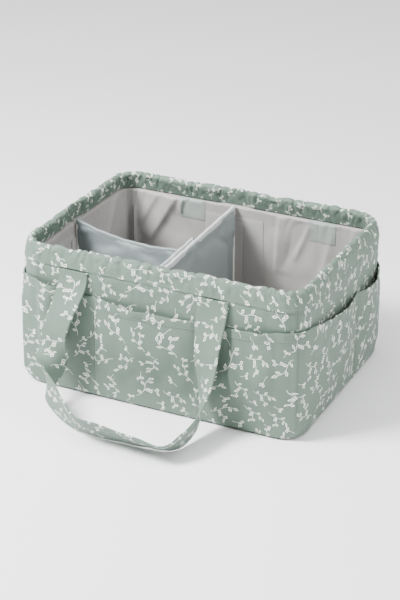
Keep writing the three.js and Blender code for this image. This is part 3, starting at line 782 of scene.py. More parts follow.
# %% Folds of the pockets
LONG_SIDE_FOLDS = [
    (84, 122, 112, 34, 16, 6, 8), (104, 134, 130, 46, 7, 12, -3.6), (-20, 112, -19, 22, 30, 36, 4.5),
    (0, 20, 58, 44, 6, 9, 2.4), (138, 50, 172, 18, 5, 8, 2.6), (-64, 108, -58, 30, 9, 12, 2),
    (128, 118, 140, 60, 10, 14, 2.4), (-150, 100, -138, 36, 12, 8, 2.6), (164, 118, 116, 38, 18, 44, 4.5),
]
POCKET_FOLDS = {
    "front": LONG_SIDE_FOLDS,
    "back": LONG_SIDE_FOLDS,
    "right": [(-78, 104, -62, 30, 12, 7, 2.6), (-12, 98, 6, 36, 16, 9, 2.6), (72, 96, 62, 34, 10, 7, 2.2)],
    "left": [(-66, 100, -76, 34, 10, 8, 2.4), (-6, 104, 2, 30, 14, 9, 2.6), (66, 110, 80, 40, 11, 7, 2.4)],
}
print("folds on the front pocket:", len(POCKET_FOLDS["front"]))

# %% Mouths of the pockets
HANDLE_PLACES = (-103, 75)
HANDLE_WIDTH, HANDLE_THICKNESS = 38, 2.4
POCKET_HANDLE_CLEARANCE = 4
POCKET_SEAMS = {"front": [-77, 58], "right": [38], "back": [-77, 58], "left": [38]}
POCKET_MOUTHS = {
    "front": [138, 130, 126, 134],
    "right": [134, 117, 120],
    "back": [120, 127, 128, 131],
    "left": [131, 125, 138],
}
LONG_GAPE, END_GAPE, LONG_SAG, END_SAG = 4.5, 5.5, 2.5, 5
print("stretches between seams:", sum(len(seams) + 1 for seams in POCKET_SEAMS.values()))


# %% How far a mouth gapes
def gape_range(side, start, end):
    """Where a pocket's mouth stands open: the wider stretch beside a strap that crosses it."""
    clear = HANDLE_WIDTH / 2 + POCKET_HANDLE_CLEARANCE
    crossing = [p for p in HANDLE_PLACES if p + clear > start and p - clear < end]
    if side not in LONG_SIDES or not crossing:
        return start, end
    before, after = (start, crossing[0] - clear), (crossing[0] + clear, end)
    return before if before[1] - before[0] > after[1] - after[0] else after


def pocket_shape(side, along):
    """The gape and the height of the mouth at places along one side."""
    half = SIDE_HALVES[side]
    widest, lowest = (LONG_GAPE, LONG_SAG) if side in LONG_SIDES else (END_GAPE, END_SAG)
    edges = [-half, *POCKET_SEAMS[side], half]
    inside = np.clip(along, -half, half)
    gape, mouth = np.zeros_like(inside), np.zeros_like(inside)
    for start, end, low, high in zip(edges, edges[1:], POCKET_MOUTHS[side], POCKET_MOUTHS[side][1:]):
        here = (inside >= start) & (inside <= end)
        open_from, open_to = gape_range(side, start, end)
        opening = np.clip((inside - open_from) / (open_to - open_from), 0, 1)
        share = (inside - start) / (end - start)
        sag = lowest * 4 * share * (1 - share)
        gape = np.where(here, widest * np.sin(np.pi * opening) ** 0.6, gape)
        mouth = np.where(here, low + (high - low) * share - sag, mouth)
    return np.where(np.abs(along) > half, 0, gape), mouth


def sewn_mouth(side, along):
    """The height of the mouth with the unevenness of a hem sewn by hand."""
    return pocket_shape(side, along)[1] + 0.5 * ripples(along, 0, 45, 45, tilt=0)


print("front mouth at its seams:", pocket_shape("front", np.array(POCKET_SEAMS["front"], float))[1])

# %% How a pocket hangs
FULL_GAPE_SHARE = 0.77
CORNER_SHARPNESS = 0.6  # 0 leaves the corners round, and 1 would make them square
SEAM_HOLD, FOOT_HOLD = 16, 55  # how far a seam and the foot hold the cloth to the wall
STRAP_PRESS = 0.85
POCKET_SWELL = 10


def seam_distance(side, along):
    """Distance along the wall to the nearest pocket seam or corner seam."""
    corner = SIDE_HALVES[side] + ARC / 2
    return distance_to([-corner, *POCKET_SEAMS[side], corner], along)


def behind_strap(side, along):
    """1 where a strap hangs against the pocket, fading to 0 beside it."""
    if side not in LONG_SIDES:
        return np.zeros_like(along)
    distance = distance_to(HANDLE_PLACES, along)
    return 1 - smooth_step(HANDLE_WIDTH / 2 - 1, HANDLE_WIDTH / 2 + 7, distance)


def puckers(seam, u, z):
    """Short ridges that run out from a seam."""
    waves = np.sin(z * 0.62 + 2 * ripples(u, z, 50, 43))
    return np.clip(0.6 * np.exp(-seam / 9) * waves * np.exp(-1 / (seam + 0.3)), 0, None)


nearest = seam_distance("front", np.array(float(LONG_HALF)))
print("from the start of a front corner to its seam:", np.round(nearest, 1), "mm")


# %% Depth of a pocket
def pocket_depth(side, along, z):
    """Depth of the pocket's inner face. It is negative, because the pocket lies outside the wall.

    It adds up the gape of the mouth, the loose cloth between its seams, and the ridge at the corners.
    """
    gape, mouth = pocket_shape(side, along)
    share = (z - SHELL_FOOT) / (mouth - SHELL_FOOT)
    opened = gape * np.sin(np.pi / 2 * np.clip(share / FULL_GAPE_SHARE, 0, 1))
    u = SIDE_CENTRES[side] + along
    seam = seam_distance(side, along)
    free = 1 - np.exp(-((seam / SEAM_HOLD) ** 1.3))
    foot = smooth_step(0, FOOT_HOLD, z)
    pressed = 1 - STRAP_PRESS * behind_strap(side, along) * smooth_step(60, 110, z)
    slow = 1.3 + 1.7 * ripples(u, z, 70, 41)
    small = 1.3 * np.abs(ripples(u, z, 42, 42, tilt=0.75))
    loose = soft_floor(slow, 0.5) + small + folds(POCKET_FOLDS[side], along, z)
    edge_wave = 0.9 * ripples(u, z, 34, 44, tilt=0) * smooth_step(0.75, 1, share) * free
    swell = free * foot * pressed * loose + puckers(seam, u, z) * foot + edge_wave
    into_arc = np.clip(np.abs(along) - SIDE_HALVES[side], 0, None) / CORNER
    sharpness = CORNER_SHARPNESS * smooth_step(0, 18, z) * (1 - 0.75 * smooth_step(0.7, 1, share))
    corner_ridge = sharpness * CORNER * (1 / np.cos(into_arc) - 1)
    return -(SEAM_GAP + wall_swell(u, z) + opened + np.clip(swell, 0, POCKET_SWELL) + corner_ridge)


high_on_front = pocket_depth("front", steps(-LONG_HALF, LONG_HALF, 2), np.array(100.0))
print("front pocket stands off by", (-high_on_front).min().round(1), "to", (-high_on_front).max().round(1))

# %% Hems and seams
POCKET_CLOTH, HEM_HEIGHT, HEM_EXTRA = 1.0, 11, 0.5
HEM_STITCHES = 1.7  # above the foot of the hem


def pocket_rows(mouth):
    """Heights of the rows, from the foot to the mouth, with close rows where the hem is folded."""
    below = np.array([0, 0.008, 0.017, 0.028, 0.04, *np.linspace(0.06, 1, 40)])
    hem_foot = mouth - HEM_HEIGHT
    rows = [SHELL_FOOT + (hem_foot - SHELL_FOOT) * share for share in below]
    rows += [hem_foot + h for h in (0.4, 0.8, 1.6, 3.5, 5.5, 7.5, 9.2, 10.2, 10.8)] + [mouth]
    return np.stack(rows, -1)


def hem_relief(z, mouth):
    """The doubled cloth of the hem stands out, with a groove where its stitches pull it in."""
    from_foot = z - (mouth - HEM_HEIGHT)
    doubled = HEM_EXTRA * smooth_step(0, 0.9, from_foot)
    stitched = 0.35 * hump(from_foot, HEM_STITCHES, 0.8)
    rolled = 0.45 * smooth_step(HEM_HEIGHT - 1.4, HEM_HEIGHT, from_foot)
    return doubled - stitched - rolled


def seam_relief(side, along):
    """A seam is a narrow groove with a small raised lip on each side."""
    seam = seam_distance(side, along)
    return 0.5 * hump(seam, 2.3, 1.3) - 0.35 * hump(seam, 0, 0.9)


def pocket_outer_depth(side, along, z):
    """Depth of the pocket's outer face, with its hem and its seams."""
    mouth = pocket_shape(side, along)[1]
    relief = hem_relief(z, mouth) + np.clip(seam_relief(side, along), -0.3, 1)
    return pocket_depth(side, along, z) - POCKET_CLOTH - relief


print("rows of a pocket cloth:", len(pocket_rows(np.array(120.0))))

# %% Pocket cloths
POCKET_PRINT = (300, 60)

for side in SIDE_NAMES:
    start, end = side_span(side)
    along = steps(start, end, WALL_STEP) - SIDE_CENTRES[side]
    z = pocket_rows(sewn_mouth(side, along))
    along = np.broadcast_to(along[:, None], z.shape)
    u = SIDE_CENTRES[side] + along
    outer = wall(u, z, pocket_outer_depth(side, along, z))
    inner = wall(u, z, pocket_depth(side, along, z))
    flat_uv = np.stack([u, z], -1) + POCKET_PRINT
    cloth = sheet_piece(f"{side}_pocket_cloth", outer, inner, flat_uv, printed_cloth)
    dress(cloth, "basket", "printed_cloth", f"{side}_pocket")
print("pocket cloth:", len(cloth.data.vertices), "points on the last side")

# %% [markdown]
# ## The gathered rim
# The rim is one strip of cloth folded over the top of the wall, with the elastic inside. Its section is a
# tall narrow bow: up the outside, over the top and down the inside. A bent tube would have an even edge, and
# the real one is wavy. So the section is worked out anew at each place: the gathers press creases into it,
# its top line rises between them, and a few long creases on the long sides stand where the photograph has
# them. The inner leg hangs off the foam a little, except where a divider rises past it.

# %% Measures of the rim
CASING_CLOTH, CASING_BULGE = 1.2, 2
OUTER_SWELL, INNER_SWELL, INNER_HANG = 5, 3.4, 2.4
PUFF_HEIGHT, CREASE_DEPTH = 1.5, 2.2
TOP_PUFF, TOP_CREASE = 1.1, 1.7  # how much they raise and lower the top line
DIVIDER_CLEAR, FREE_OF_DIVIDER = 14, 28
CASING_OUTER, CASING_INNER = -SEAM_GAP, 2.8  # faces of the legs at their feet
FOLD_POWER, SWELL_POWER, SWEEP_POWER = 0.7, 0.75, 0.85
RIM_CREASES = [  # on the long sides, from the top edge down
    (-88, 186, -74, 158, 1.4, 5, -3.4), (-5, 188, -6, 157, 1.2, 2.5, -2.4),
    (126, 182, 133, 150, 1.5, 5, -3.6), (104, 176, 120, 146, 2, 6, -2.4),
    (-46, 184, -41, 156, 2, 4, -2.8), (-116, 184, -122, 158, 1.5, 4, -2.6),
    (42, 184, 50, 157, 1.5, 4, -2.6), (84, 186, 78, 160, 2, 3, -2.4), (148, 186, 141, 158, 1.5, 3, -2.8),
]


def distance_round(u, places):
    """Distance to the nearest of some places round the basket."""
    return np.abs(shorter_way(u[..., None] - np.array(places))).min(-1)


def beside_dividers(u):
    """0 where a divider rises past the rim and 1 away from it."""
    middles = [SIDE_CENTRES[side] + along for side, along in TAPES.items()]
    return smooth_step(DIVIDER_CLEAR, FREE_OF_DIVIDER, distance_round(u, middles))


def near_ends(u):
    """1 round the ends and corners, where the gathers are close, and less along the long sides."""
    from_middle = distance_round(u, [SIDE_CENTRES[side] for side in LONG_SIDES])
    return 0.35 + 0.65 * smooth_step(LONG_HALF - 40, LONG_HALF + 5, from_middle)


print("creases on a long side:", len(RIM_CREASES))


# %% Relief of the rim
def rim_relief(u, share, z):
    """How far the gathered casing stands off its plain section, before it is kept within its limits."""
    puff, crease = gathers(u, z)
    crumples = np.abs(ripples(u, share * 60, 22, 55, tilt=0.8)) - 0.45
    uneven = 0.6 * ripples(u, share * 60, 30, 53) + 2.0 * crumples + 0.5 * ripples(u, share * 50, 9, 54)
    return PUFF_HEIGHT * puff - CREASE_DEPTH * crease - 0.2 + uneven


print("relief at the top of the front middle:", rim_relief(np.array(0.0), 0.25, RIM_TOP).round(1), "mm")


# %% Height and depth on the rim
def rim_point(u, share, thickness):
    """Height and depth on the rim for shares 0 at the outer foot to 1 at the inner foot.

    First the plain bow is raised and lowered by the gathers. Then its faces are pushed out by the relief.
    """
    angle = np.pi * share
    sine, sweep = np.sin(angle), np.cos(angle)
    height = np.clip(sine, 0, 1) ** FOLD_POWER
    foot = CASING_FOOT + share
    z = foot + height * (RIM_TOP - CASING_CLOTH - foot)
    outside = share < 0.5
    gathered_at = np.where(outside, z, 2 * RIM_TOP - z - 6)
    puff, crease = gathers(u, gathered_at)
    top_wave = 0.9 * ripples(u, 0, 95, 51, tilt=0) + 0.5 * ripples(u, 0, 33, 52, tilt=0)
    z = z + height**2 * (top_wave + TOP_PUFF * puff - TOP_CREASE * crease - 0.7)
    slanted = u + (z - SEAM_HEIGHT) * 0.6
    fine = np.clip(1 - np.abs(ripples(slanted, share * 25, 15, 57, tilt=0.3)), 0, 1) ** 4
    gather = rim_relief(u, share, gathered_at) + (0.5 - 2.2 * fine) * near_ends(u)
    for side in LONG_SIDES:
        along = shorter_way(u - SIDE_CENTRES[side])
        gather = gather + np.where(outside, folds(RIM_CREASES, along, z), 0)
    gather = np.where(outside, gather, 1.6 * gather - 0.3)
    most = np.where(outside, OUTER_SWELL, INNER_SWELL)
    swell = np.clip(CASING_BULGE + gather, 0.3, most) * np.clip(sine, 0, 1) ** SWELL_POWER
    outwards = np.sign(sweep) * np.abs(sweep) ** SWEEP_POWER
    middle, half = (CASING_OUTER + CASING_INNER) / 2, (CASING_INNER - CASING_OUTER) / 2
    hang = INNER_HANG * smooth_step(0.5, 0.75, share) * beside_dividers(u)
    depth = middle - sweep * half - outwards * (swell + thickness) + hang
    return z + thickness * np.sqrt(np.clip(sine, 0, 1)), depth


round_the_rim = steps(0, GIRTH, 2)
top_line = rim_point(round_the_rim, np.full_like(round_the_rim, 0.5), CASING_CLOTH)[0]
print("top line of the rim:", top_line.min().round(1), "to", top_line.max().round(1), "mm high")

# %% Rim cloths
RIM_FULLNESS = 1.12  # the cloth is so much longer than the rim, because the elastic gathers it
RIM_STEP, RIM_PRINT = 1.15, 165

for side in SIDE_NAMES:
    start, end = side_span(side)
    u = steps(start, end, RIM_STEP)[:, None]
    even = np.linspace(0, 1, 31)
    share = (0.5 - 0.5 * np.cos(np.pi * even))[None, :] * 0.5 + np.linspace(0, 0.5, 31)[None, :]
    u, share = np.broadcast_arrays(u, share)
    outer = wall(u, *rim_point(u, share, CASING_CLOTH))
    inner = wall(u, *rim_point(u, share, 0))
    widths = np.linalg.norm(np.diff(outer, axis=0), axis=-1)
    heights = np.linalg.norm(np.diff(outer, axis=1), axis=-1)
    across = adding_up(widths.mean(1) * RIM_FULLNESS)[:, None] + start
    up = adding_up(heights.mean(0))[None, :]
    flat_uv = np.stack(np.broadcast_arrays(across, up + RIM_PRINT), -1)
    casing = sheet_piece(f"{side}_rim_cloth", outer, inner, flat_uv, printed_cloth)
    dress(casing, "basket", "printed_cloth", f"rim_casing_{side}")
print("rim cloth:", len(casing.data.vertices), "points on the last side")

# %% [markdown]
# ## The lining
# Inside, a warm grey satin covers the foam. It may only swell inwards, away from the foam. It hangs loose
# between its corner seams, so it shows long soft wrinkles and a few sharp folds that slant down from
# the rim. As on the pockets, the ripples are left to chance, and each sharp fold is a low ridge along a line,
# steep on one side. At the top the lining is pinched between the wall and the rim.

# %% Folds of the lining
LINING_FOLDS = {
    "front": [(-60, 150, -48, 60, 7, 2, 2.2), (96, 152, 84, 90, 6, 2, 2)],
    "right": [(-50, 150, -40, 70, 8, 2, 2.4), (40, 150, 62, 60, 9, 2, 2.6)],
    "back": [
        (162, 136, 164, 70, 9, 1, 4.6), (97, 158, 137, 90, 4, 16, 5), (124, 158, 152, 108, 4, 12, 3.2),
        (88, 158, 91, 134, 1, 4, 3), (-76, 156, -50, 84, 7, 7, -3.5), (-86, 152, -66, 100, 5, 4, 3.4),
        (-46, 156, -40, 76, 9, 3, 3.6), (-118, 150, -96, 60, 10, 5, 3), (-140, 156, -150, 80, 9, 3, 3),
    ],
    "left": [(-94, 160, -60, 98, 12, 3, 4.8), (60, 156, 78, 66, 9, 2, 3), (-88, 110, -60, 40, 12, 3, 2.4)],
}
print("folds on the linings:", sum(len(lines) for lines in LINING_FOLDS.values()))

# %% How the lining hangs
LINING_FOOT, PINCH_FOOT, PINCH_TOP = 6.1, 156.3, 159.3
LINING_DEPTH, PINCHED_DEPTH, LINING_CLOTH = 6.8, 1.5, 1.0
LINING_SWELL, CORNER_PLUMPNESS = 6, 2.4
LOOP_WIDTH = 80


def lining_depth(z):
    """Depth of the lining's flat back face, which is pinched towards the wall at its top."""
    return LINING_DEPTH + (PINCHED_DEPTH - LINING_DEPTH) * smooth_step(PINCH_FOOT, PINCH_TOP, z)


def lining_swell(side, along, z):
    """How far the lining stands inwards of its flat place."""
    u = SIDE_CENTRES[side] + along
    corner = SIDE_HALVES[side] + ARC / 2
    from_corner = corner - np.abs(along)
    total = soft_floor(0.8 + 1.4 * ripples(u, z, 70, 61), 0.4)
    total += np.abs(ripples(u, z, 40, 62, tilt=0.8)) ** 1.5
    total += folds(LINING_FOLDS[side], along, z)
    puff, crease = gathers(u, np.minimum(z, SEAM_HEIGHT))
    total += 0.9 * puff * smooth_step(118, 150, z) - 0.7 * crease
    held = smooth_step(0, 9, from_corner) * smooth_step(LINING_FOOT, LINING_FOOT + 12, z)
    held = held * (1 - smooth_step(154, 158.5, z))
    if side in TAPES:
        from_tape = np.abs(along - TAPES[side]) - LOOP_WIDTH / 2
        held = held * (0.2 + 0.8 * smooth_step(-3, 14, from_tape))
    middle_heights = smooth_step(30, 80, z) * (1 - smooth_step(120, 150, z))
    plump = CORNER_PLUMPNESS * hump(from_corner, 12, 8) * middle_heights
    return np.clip(total, 0, LINING_SWELL) * held + plump * held


print("lining under the rim is pinched to", lining_depth(SHELL_TOP), "mm from the outer face")

# %% Lining cloths
LINING_STEP = 1.7
rows = np.concatenate([steps(LINING_FOOT, 140, 3.2), steps(142, 154, 1.6), steps(155, SHELL_TOP, 0.75)])
for side in SIDE_NAMES:
    start, end = side_span(side)
    along = steps(start, end, LINING_STEP)[:, None] - SIDE_CENTRES[side]
    along, z = np.broadcast_arrays(along, rows[None, :])
    u = SIDE_CENTRES[side] + along
    inner_face = wall(u, z, lining_depth(z) + LINING_CLOTH + lining_swell(side, along, z))
    back_face = wall(u, z, lining_depth(z) + 0 * u)
    flat_uv = np.stack([u, z], -1)
    cloth = sheet_piece(f"{side}_lining_cloth", back_face, inner_face, flat_uv, lining_satin)
    dress(cloth, "basket", "lining_satin", f"{side}_lining")
print("lining:", len(cloth.data.vertices), "points on the last side")

# %% [markdown]
# ## The base
# Under the basket lies a plate of the printed cloth, and inside, over the board, one of the satin. A fan of
# triangles could fill the rounded rectangle, but it would wrinkle badly. So both are grids whose columns
# shorten at the corners. The outer one is pulled flat, and the inner one is loose, so it puffs up a little.


# %% Base cloths
def plate_grid(inset, columns=90, rows=60):
    """A flat grid over the rounded rectangle of the base, kept inside it by the inset."""
    half_x, half_y, radius = LENGTH / 2 - inset, WIDTH / 2 - inset, CORNER - inset
    x = half_x * np.sin(np.linspace(-np.pi / 2, np.pi / 2, columns))
    into_corner = np.clip(np.abs(x) - (half_x - radius), 0, radius)
    reach = half_y - radius + np.sqrt(radius**2 - into_corner**2)
    y = reach[:, None] * np.linspace(-1, 1, rows)[None, :]
    return np.broadcast_to(x[:, None], y.shape), y


BASE_CLOTH = 1.2
BOARD_TOP, BASE_LINING_CLOTH = 4.8, 1.0

x, y = plate_grid(4.2)
under = np.stack([x, y, np.zeros_like(x)], -1)[:, ::-1]
top = np.stack([x, y, np.full_like(x, BASE_CLOTH)], -1)[:, ::-1]
base_cloth = sheet_piece("base_cloth", under, top, under[..., :2], printed_cloth)
dress(base_cloth, "basket", "printed_cloth", "base_panel")

x, y = plate_grid(2.5)
edge = np.minimum(LENGTH / 2 - np.abs(x), WIDTH / 2 - np.abs(y))
puffed = (0.5 + 0.5 * ripples(x, y, 60, 71)) * 1.2 * smooth_step(6, 30, edge)
lower = np.stack([x, y, np.full_like(x, BOARD_TOP)], -1)
upper = np.stack([x, y, BOARD_TOP + BASE_LINING_CLOTH + puffed], -1)
base_lining = sheet_piece("base_lining_cloth", upper, lower, upper[..., :2], lining_satin)
dress(base_lining, "basket", "lining_satin", "base_lining")
print("base lining puffs up by", puffed.max().round(1), "mm")

# %% [markdown]
# ## Patches and fastener strips
# Small squares of satin inside the rim back the seams of the straps. Three wide strips of loop fastener on
# the front, back and left walls hold the dividers, and are sewn down round their edges. They could be
# projected onto the lining with a shrinkwrap modifier. But the lining's relief is a function, so a patch
# simply asks it how deep the cloth lies under each of its points.


# %% Flat pieces on the lining
PATCH_STEP, PATCH_GAP = 1.6, 0.1


def lining_patch(name, side, along, foot, top, width, thickness, material, slot, *nodes):
    """A flat piece that follows the lining, with soft edges and a groove where it is sewn down."""
    columns = along + steps(-width / 2, width / 2, PATCH_STEP)[:, None]
    rows = steps(foot, top, PATCH_STEP)[None, :]
    columns, rows = np.broadcast_arrays(columns, rows)
    u = SIDE_CENTRES[side] + columns
    back = lining_depth(rows) + LINING_CLOTH + lining_swell(side, columns, rows) + PATCH_GAP
    sideways = np.minimum(columns - columns.min(), columns.max() - columns)
    edge = np.minimum(sideways, np.minimum(rows - foot, top - rows))
    rounded = thickness * (0.55 + 0.45 * smooth_step(0, 1.2, edge)) - 0.3 * hump(edge, 2.2, 0.8)
    flat_uv = np.stack([columns, rows], -1)
    points = wall(u, rows, back), wall(u, rows, back + rounded)
    piece = sheet_piece(name, *points, flat_uv, material)
    return dress(piece, "basket", slot, *nodes)


PATCH_WIDTH, PATCH_HEIGHT, PATCH_TOP = 34, 27, 158.2
STRIP_FOOT, LOOP_TOP, STRIP_THICKNESS = 14, 144, 0.8
patch_size = (PATCH_TOP - PATCH_HEIGHT, PATCH_TOP, PATCH_WIDTH, STRIP_THICKNESS)
strip_size = (STRIP_FOOT, LOOP_TOP, LOOP_WIDTH, STRIP_THICKNESS)
flat_pieces = []
for side in LONG_SIDES:
    for k, along in enumerate(HANDLE_PLACES, 1):
        name, node = f"{side}_seam_patch_{k}", f"{side}_patch_{k}"
        patch = lining_patch(name, side, along, *patch_size, patch_satin, "patch_satin", node)
        flat_pieces.append(patch)
for side, along in TAPES.items():
    name, node = f"{side}_loop_tape", f"{side}_loop_strip"
    tape = lining_patch(name, side, along, *strip_size, fastener_nap, "fastener", node)
    flat_pieces.append(tape)
print("patches and fastener strips:", len(flat_pieces))

# %% [markdown]
# ## Handles
# A handle is one flat strap sewn on under the rim. It hangs down, twists outwards near the floor, and its
# loop stands in front of the basket on its lower edge. A bevelled curve could be the strap, but its twist
# would be hard to steer. So the route is a list of stations along the strap: how far along the wall, how far
# out, its share of the drop, and the direction across the strap. A smooth curve through the stations carries
# a section of doubled cloth. The stations follow the strap's outline in the photograph.

# %% Route of a strap
PIVOT_HEIGHT = CASING_FOOT - HANDLE_THICKNESS / 2 - SEAM_GAP
PIVOT_OUT = SEAM_GAP + CASING_CLOTH + HANDLE_THICKNESS / 2 - LEAN * PIVOT_HEIGHT / RIM_TOP
ROUTE = [  # share of the way, out, drop, across
    (0, PIVOT_OUT, 0, (1, 0, 0)),
    (0, PIVOT_OUT + 1.2, 0.07, (1, -0.02, 0)),
    (-0.017, 5.2, 0.175, (0.98, -0.17, 0)),
    (-0.053, 13, 0.305, (0.96, -0.29, -0.02)),
    (-0.088, 19.5, 0.45, (0.96, -0.29, -0.05)),
    (-0.092, 22.5, 0.6, (0.97, -0.12, -0.18)),
    (-0.08, 34.8, 0.71, (0.56, 0.25, -0.78)),
    (-0.041, 53.5, 0.79, (-0.2, 0.18, -0.95)),
    (0.069, 67.8, 0.853, (-0.15, 0.18, -0.97)),
    (0.194, 81.6, 0.875, (-0.01, 0.28, -0.96)),
    (0.327, 93.7, 0.89, (0.09, 0.53, -0.84)),
    (0.479, 95.1, 0.895, (0.04, 0.61, -0.79)),
    (0.631, 95, 0.901, (-0.02, 0.68, -0.73)),
    (0.776, 95.3, 0.904, (-0.14, 0.73, -0.67)),
    (0.907, 92.5, 0.919, (-0.39, 0.7, -0.59)),
    (0.981, 77.3, 0.894, (-0.38, 0.46, -0.8)),
    (1.006, 57.5, 0.873, (-0.34, 0.37, -0.86)),
    (1.012, 37.5, 0.821, (-0.37, 0.54, -0.76)),
    (0.998, 22.8, 0.707, (-0.56, 0.66, -0.5)),
    (0.989, 14, 0.559, (-0.82, 0.53, -0.22)),
    (0.985, 10.9, 0.393, (-0.94, 0.34, -0.05)),
    (0.99, 4.6, 0.21, (-0.99, 0.12, 0)),
    (1, PIVOT_OUT + 1, 0.06, (-1, 0.02, 0)),
    (1, PIVOT_OUT, 0, (-1, 0, 0)),
]
print("stations of a strap:", len(ROUTE))


# %% Curve through the stations
def station(share, out, drop, across):
    """Place and unit direction across the strap, for one row of the route."""
    direction = np.array(across, float) / np.linalg.norm(across)
    x = HANDLE_PLACES[0] + (HANDLE_PLACES[1] - HANDLE_PLACES[0]) * share
    return np.array([x, -WIDTH / 2 - out, PIVOT_HEIGHT * (1 - drop)]), direction


def smooth_curve(points, t):
    """A smooth cubic curve through the points, at shares t of its stretches."""
    points = np.asarray(points)
    padded = np.vstack([2 * points[0] - points[1], points, 2 * points[-1] - points[-2]])
    position = np.asarray(t) * (len(points) - 1)
    first = np.minimum(position.astype(int), len(points) - 2)
    w = (position - first)[:, None]
    p0, p1, p2, p3 = (padded[first + k] for k in range(4))
    m1, m2 = (p2 - p0) / 2, (p3 - p1) / 2
    return (
        p1 + m1 * w + (3 * (p2 - p1) - 2 * m1 - m2) * w**2 + (2 * (p1 - p2) + m1 + m2) * w**3
    )


def strap_frame(t):
    """Middle, unit across and unit face normal along the strap."""
    places, directions = zip(*(station(*row) for row in ROUTE))
    middle = smooth_curve(places, t)
    step = 1e-4
    ahead, behind = (smooth_curve(places, np.clip(t + s, 0, 1)) for s in (step, -step))
    tangent = (ahead - behind) / np.linalg.norm(ahead - behind, axis=1, keepdims=True)
    across = smooth_curve(directions, t)
    across = across - tangent * (across * tangent).sum(1, keepdims=True)
    across /= np.linalg.norm(across, axis=1, keepdims=True)
    return middle, across, np.cross(tangent, across)


STRAP_STEPS = 321
strap_t = np.linspace(0, 1, STRAP_STEPS)
strap_middle, strap_across, strap_normal = strap_frame(strap_t)
strap_length = adding_up(np.linalg.norm(np.diff(strap_middle, axis=0), axis=1))
print("strap length:", round(strap_length[-1]), "mm")

# %% Section of a strap
EDGE_STITCHES = 3.2  # from the edge of the strap
FLOOR_CLEARANCE = 0.15


def strap_section():
    """A closed outline of the doubled strap: places across and off its middle plane, from face to face."""
    half, thin = HANDLE_WIDTH / 2, HANDLE_THICKNESS / 2
    flat = np.linspace(-1, 1, 31) * (half - thin)
    from_edge = half - np.abs(flat)
    groove = 0.32 * hump(from_edge, EDGE_STITCHES, 0.7)
    height = thin - groove - 0.12 * smooth_step(5, 12, from_edge)
    turn = np.linspace(math.pi / 2, -math.pi / 2, 7)[1:-1]
    edge_across, edge_off = half - thin + thin * np.cos(turn), thin * np.sin(turn)
    across = np.concatenate([flat, edge_across, flat[::-1], -edge_across[::-1]])
    off = np.concatenate([height, edge_off, -height[::-1], edge_off[::-1]])
    return across, off


def strap_points(across, off):
    """Points of the strap at places across it and off its middle plane, for every step along it."""
    s = strap_length[:, None]
    across, off = np.broadcast_arrays(across, off)
    edge = np.abs(across) / (HANDLE_WIDTH / 2)
    held = smooth_step(0, 60, s) * smooth_step(0, 60, s.max() - s)
    long_waves = 0.5 * np.sin(s / 17 + 1.3 * np.sign(across))
    wave = held * edge**2 * (long_waves + 0.35 * np.sin(s / 7.3 + across / 9))
    points = (
        strap_middle[:, None] + strap_across[:, None] * across[..., None]
        + strap_normal[:, None] * (off + wave)[..., None]
    )
    points[..., 2] = np.maximum(points[..., 2], FLOOR_CLEARANCE)
    return points


print("points round a strap:", len(strap_section()[0]))


# %% The two straps
STRAP_PRINT = 700


def strap_mesh():
    """Rings of points joined along the strap, with rows of quads that close both ends."""
    across, off = strap_section()
    across, along = np.broadcast_arrays(across[None, :], strap_length[:, None])
    rings = strap_points(across, off[None, :])
    count = across.shape[1]
    index = np.arange(across.size).reshape(-1, count)
    around = np.concatenate([index, index[:, :1]], 1)
    corners = (around[:-1, :-1], around[1:, :-1], around[1:, 1:], around[:-1, 1:])
    faces = np.stack(corners, -1).reshape(-1, 4)
    ends = []
    for ring, flip in ((index[0], False), (index[-1], True)):
        for k in range(count // 2 - 1):
            quad = [ring[k], ring[k + 1], ring[-k - 2], ring[-k - 1]]
            ends.append(quad[::-1] if flip else quad)
    cloth_uv = np.stack([across + STRAP_PRINT, along], -1)
    return rings.reshape(-1, 3), np.concatenate([faces, ends]), cloth_uv.reshape(-1, 2)


def outward(piece):
    """Recalculates the normals so that every face of a closed piece points out."""
    made = bmesh.new()
    made.from_mesh(piece.data)
    bmesh.ops.recalc_face_normals(made, faces=made.faces)
    made.to_mesh(piece.data)
    made.free()
    return piece


print("quads of a strap:", len(strap_mesh()[1]))

# %% Front and back handle
HALF_TURN = np.diag([-1, -1, 1])
HANDLE_TURNS = {"front": np.eye(3), "back": HALF_TURN}
points, faces, uv = strap_mesh()
for name, turn in HANDLE_TURNS.items():
    strap = outward(piece_from(f"{name}_strap", points @ turn, faces, uv, printed_cloth, 60))
    dress(strap, f"{name}_handle", "printed_cloth", f"{name}_handle")
print("strap:", len(points), "points")

# %% [markdown]
# ## Padded dividers
# Each divider is two satins sewn together over a foam core, with a pale binding along the top. The cover
# starts as a thin closed pad. It could be rounded by a formula like the pockets, but satin over foam wrinkles
# at its seams in a way that is hard to write down. So cloth simulation blows it up gently, with its sewn
# border held, and the satin swells and wrinkles by itself. A cap keeps every point near where it was: a few
# millimetres outwards, and less inwards, where the foam is. The left face of the cross divider hardly moves,
# because the long divider's wing lies against it.

# %% Pad grids
DIVIDER_HALF, DIVIDER_FOOT = 3.0, 6.1
CROSS_TOP_FRONT, CROSS_TOP_BACK = 150, 159
LONG_TOP_AT_WALL, LONG_TOP_AT_CROSS, LONG_TOP_SAG = 162, 149, 9
CROSS_BOX, LONG_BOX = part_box("cross_divider_cover"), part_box("long_divider_cover")
LONG_FROM, LONG_TO = LONG_BOX[0][0] / MM, LONG_BOX[1][0] / MM
CROSS_HALF = CROSS_BOX[1][1] / MM
PAD_HEIGHT, PAD_CELL, PAD_ROUNDING = 150, 3.6, 6


def cross_top(share):
    return CROSS_TOP_FRONT + (CROSS_TOP_BACK - CROSS_TOP_FRONT) * share


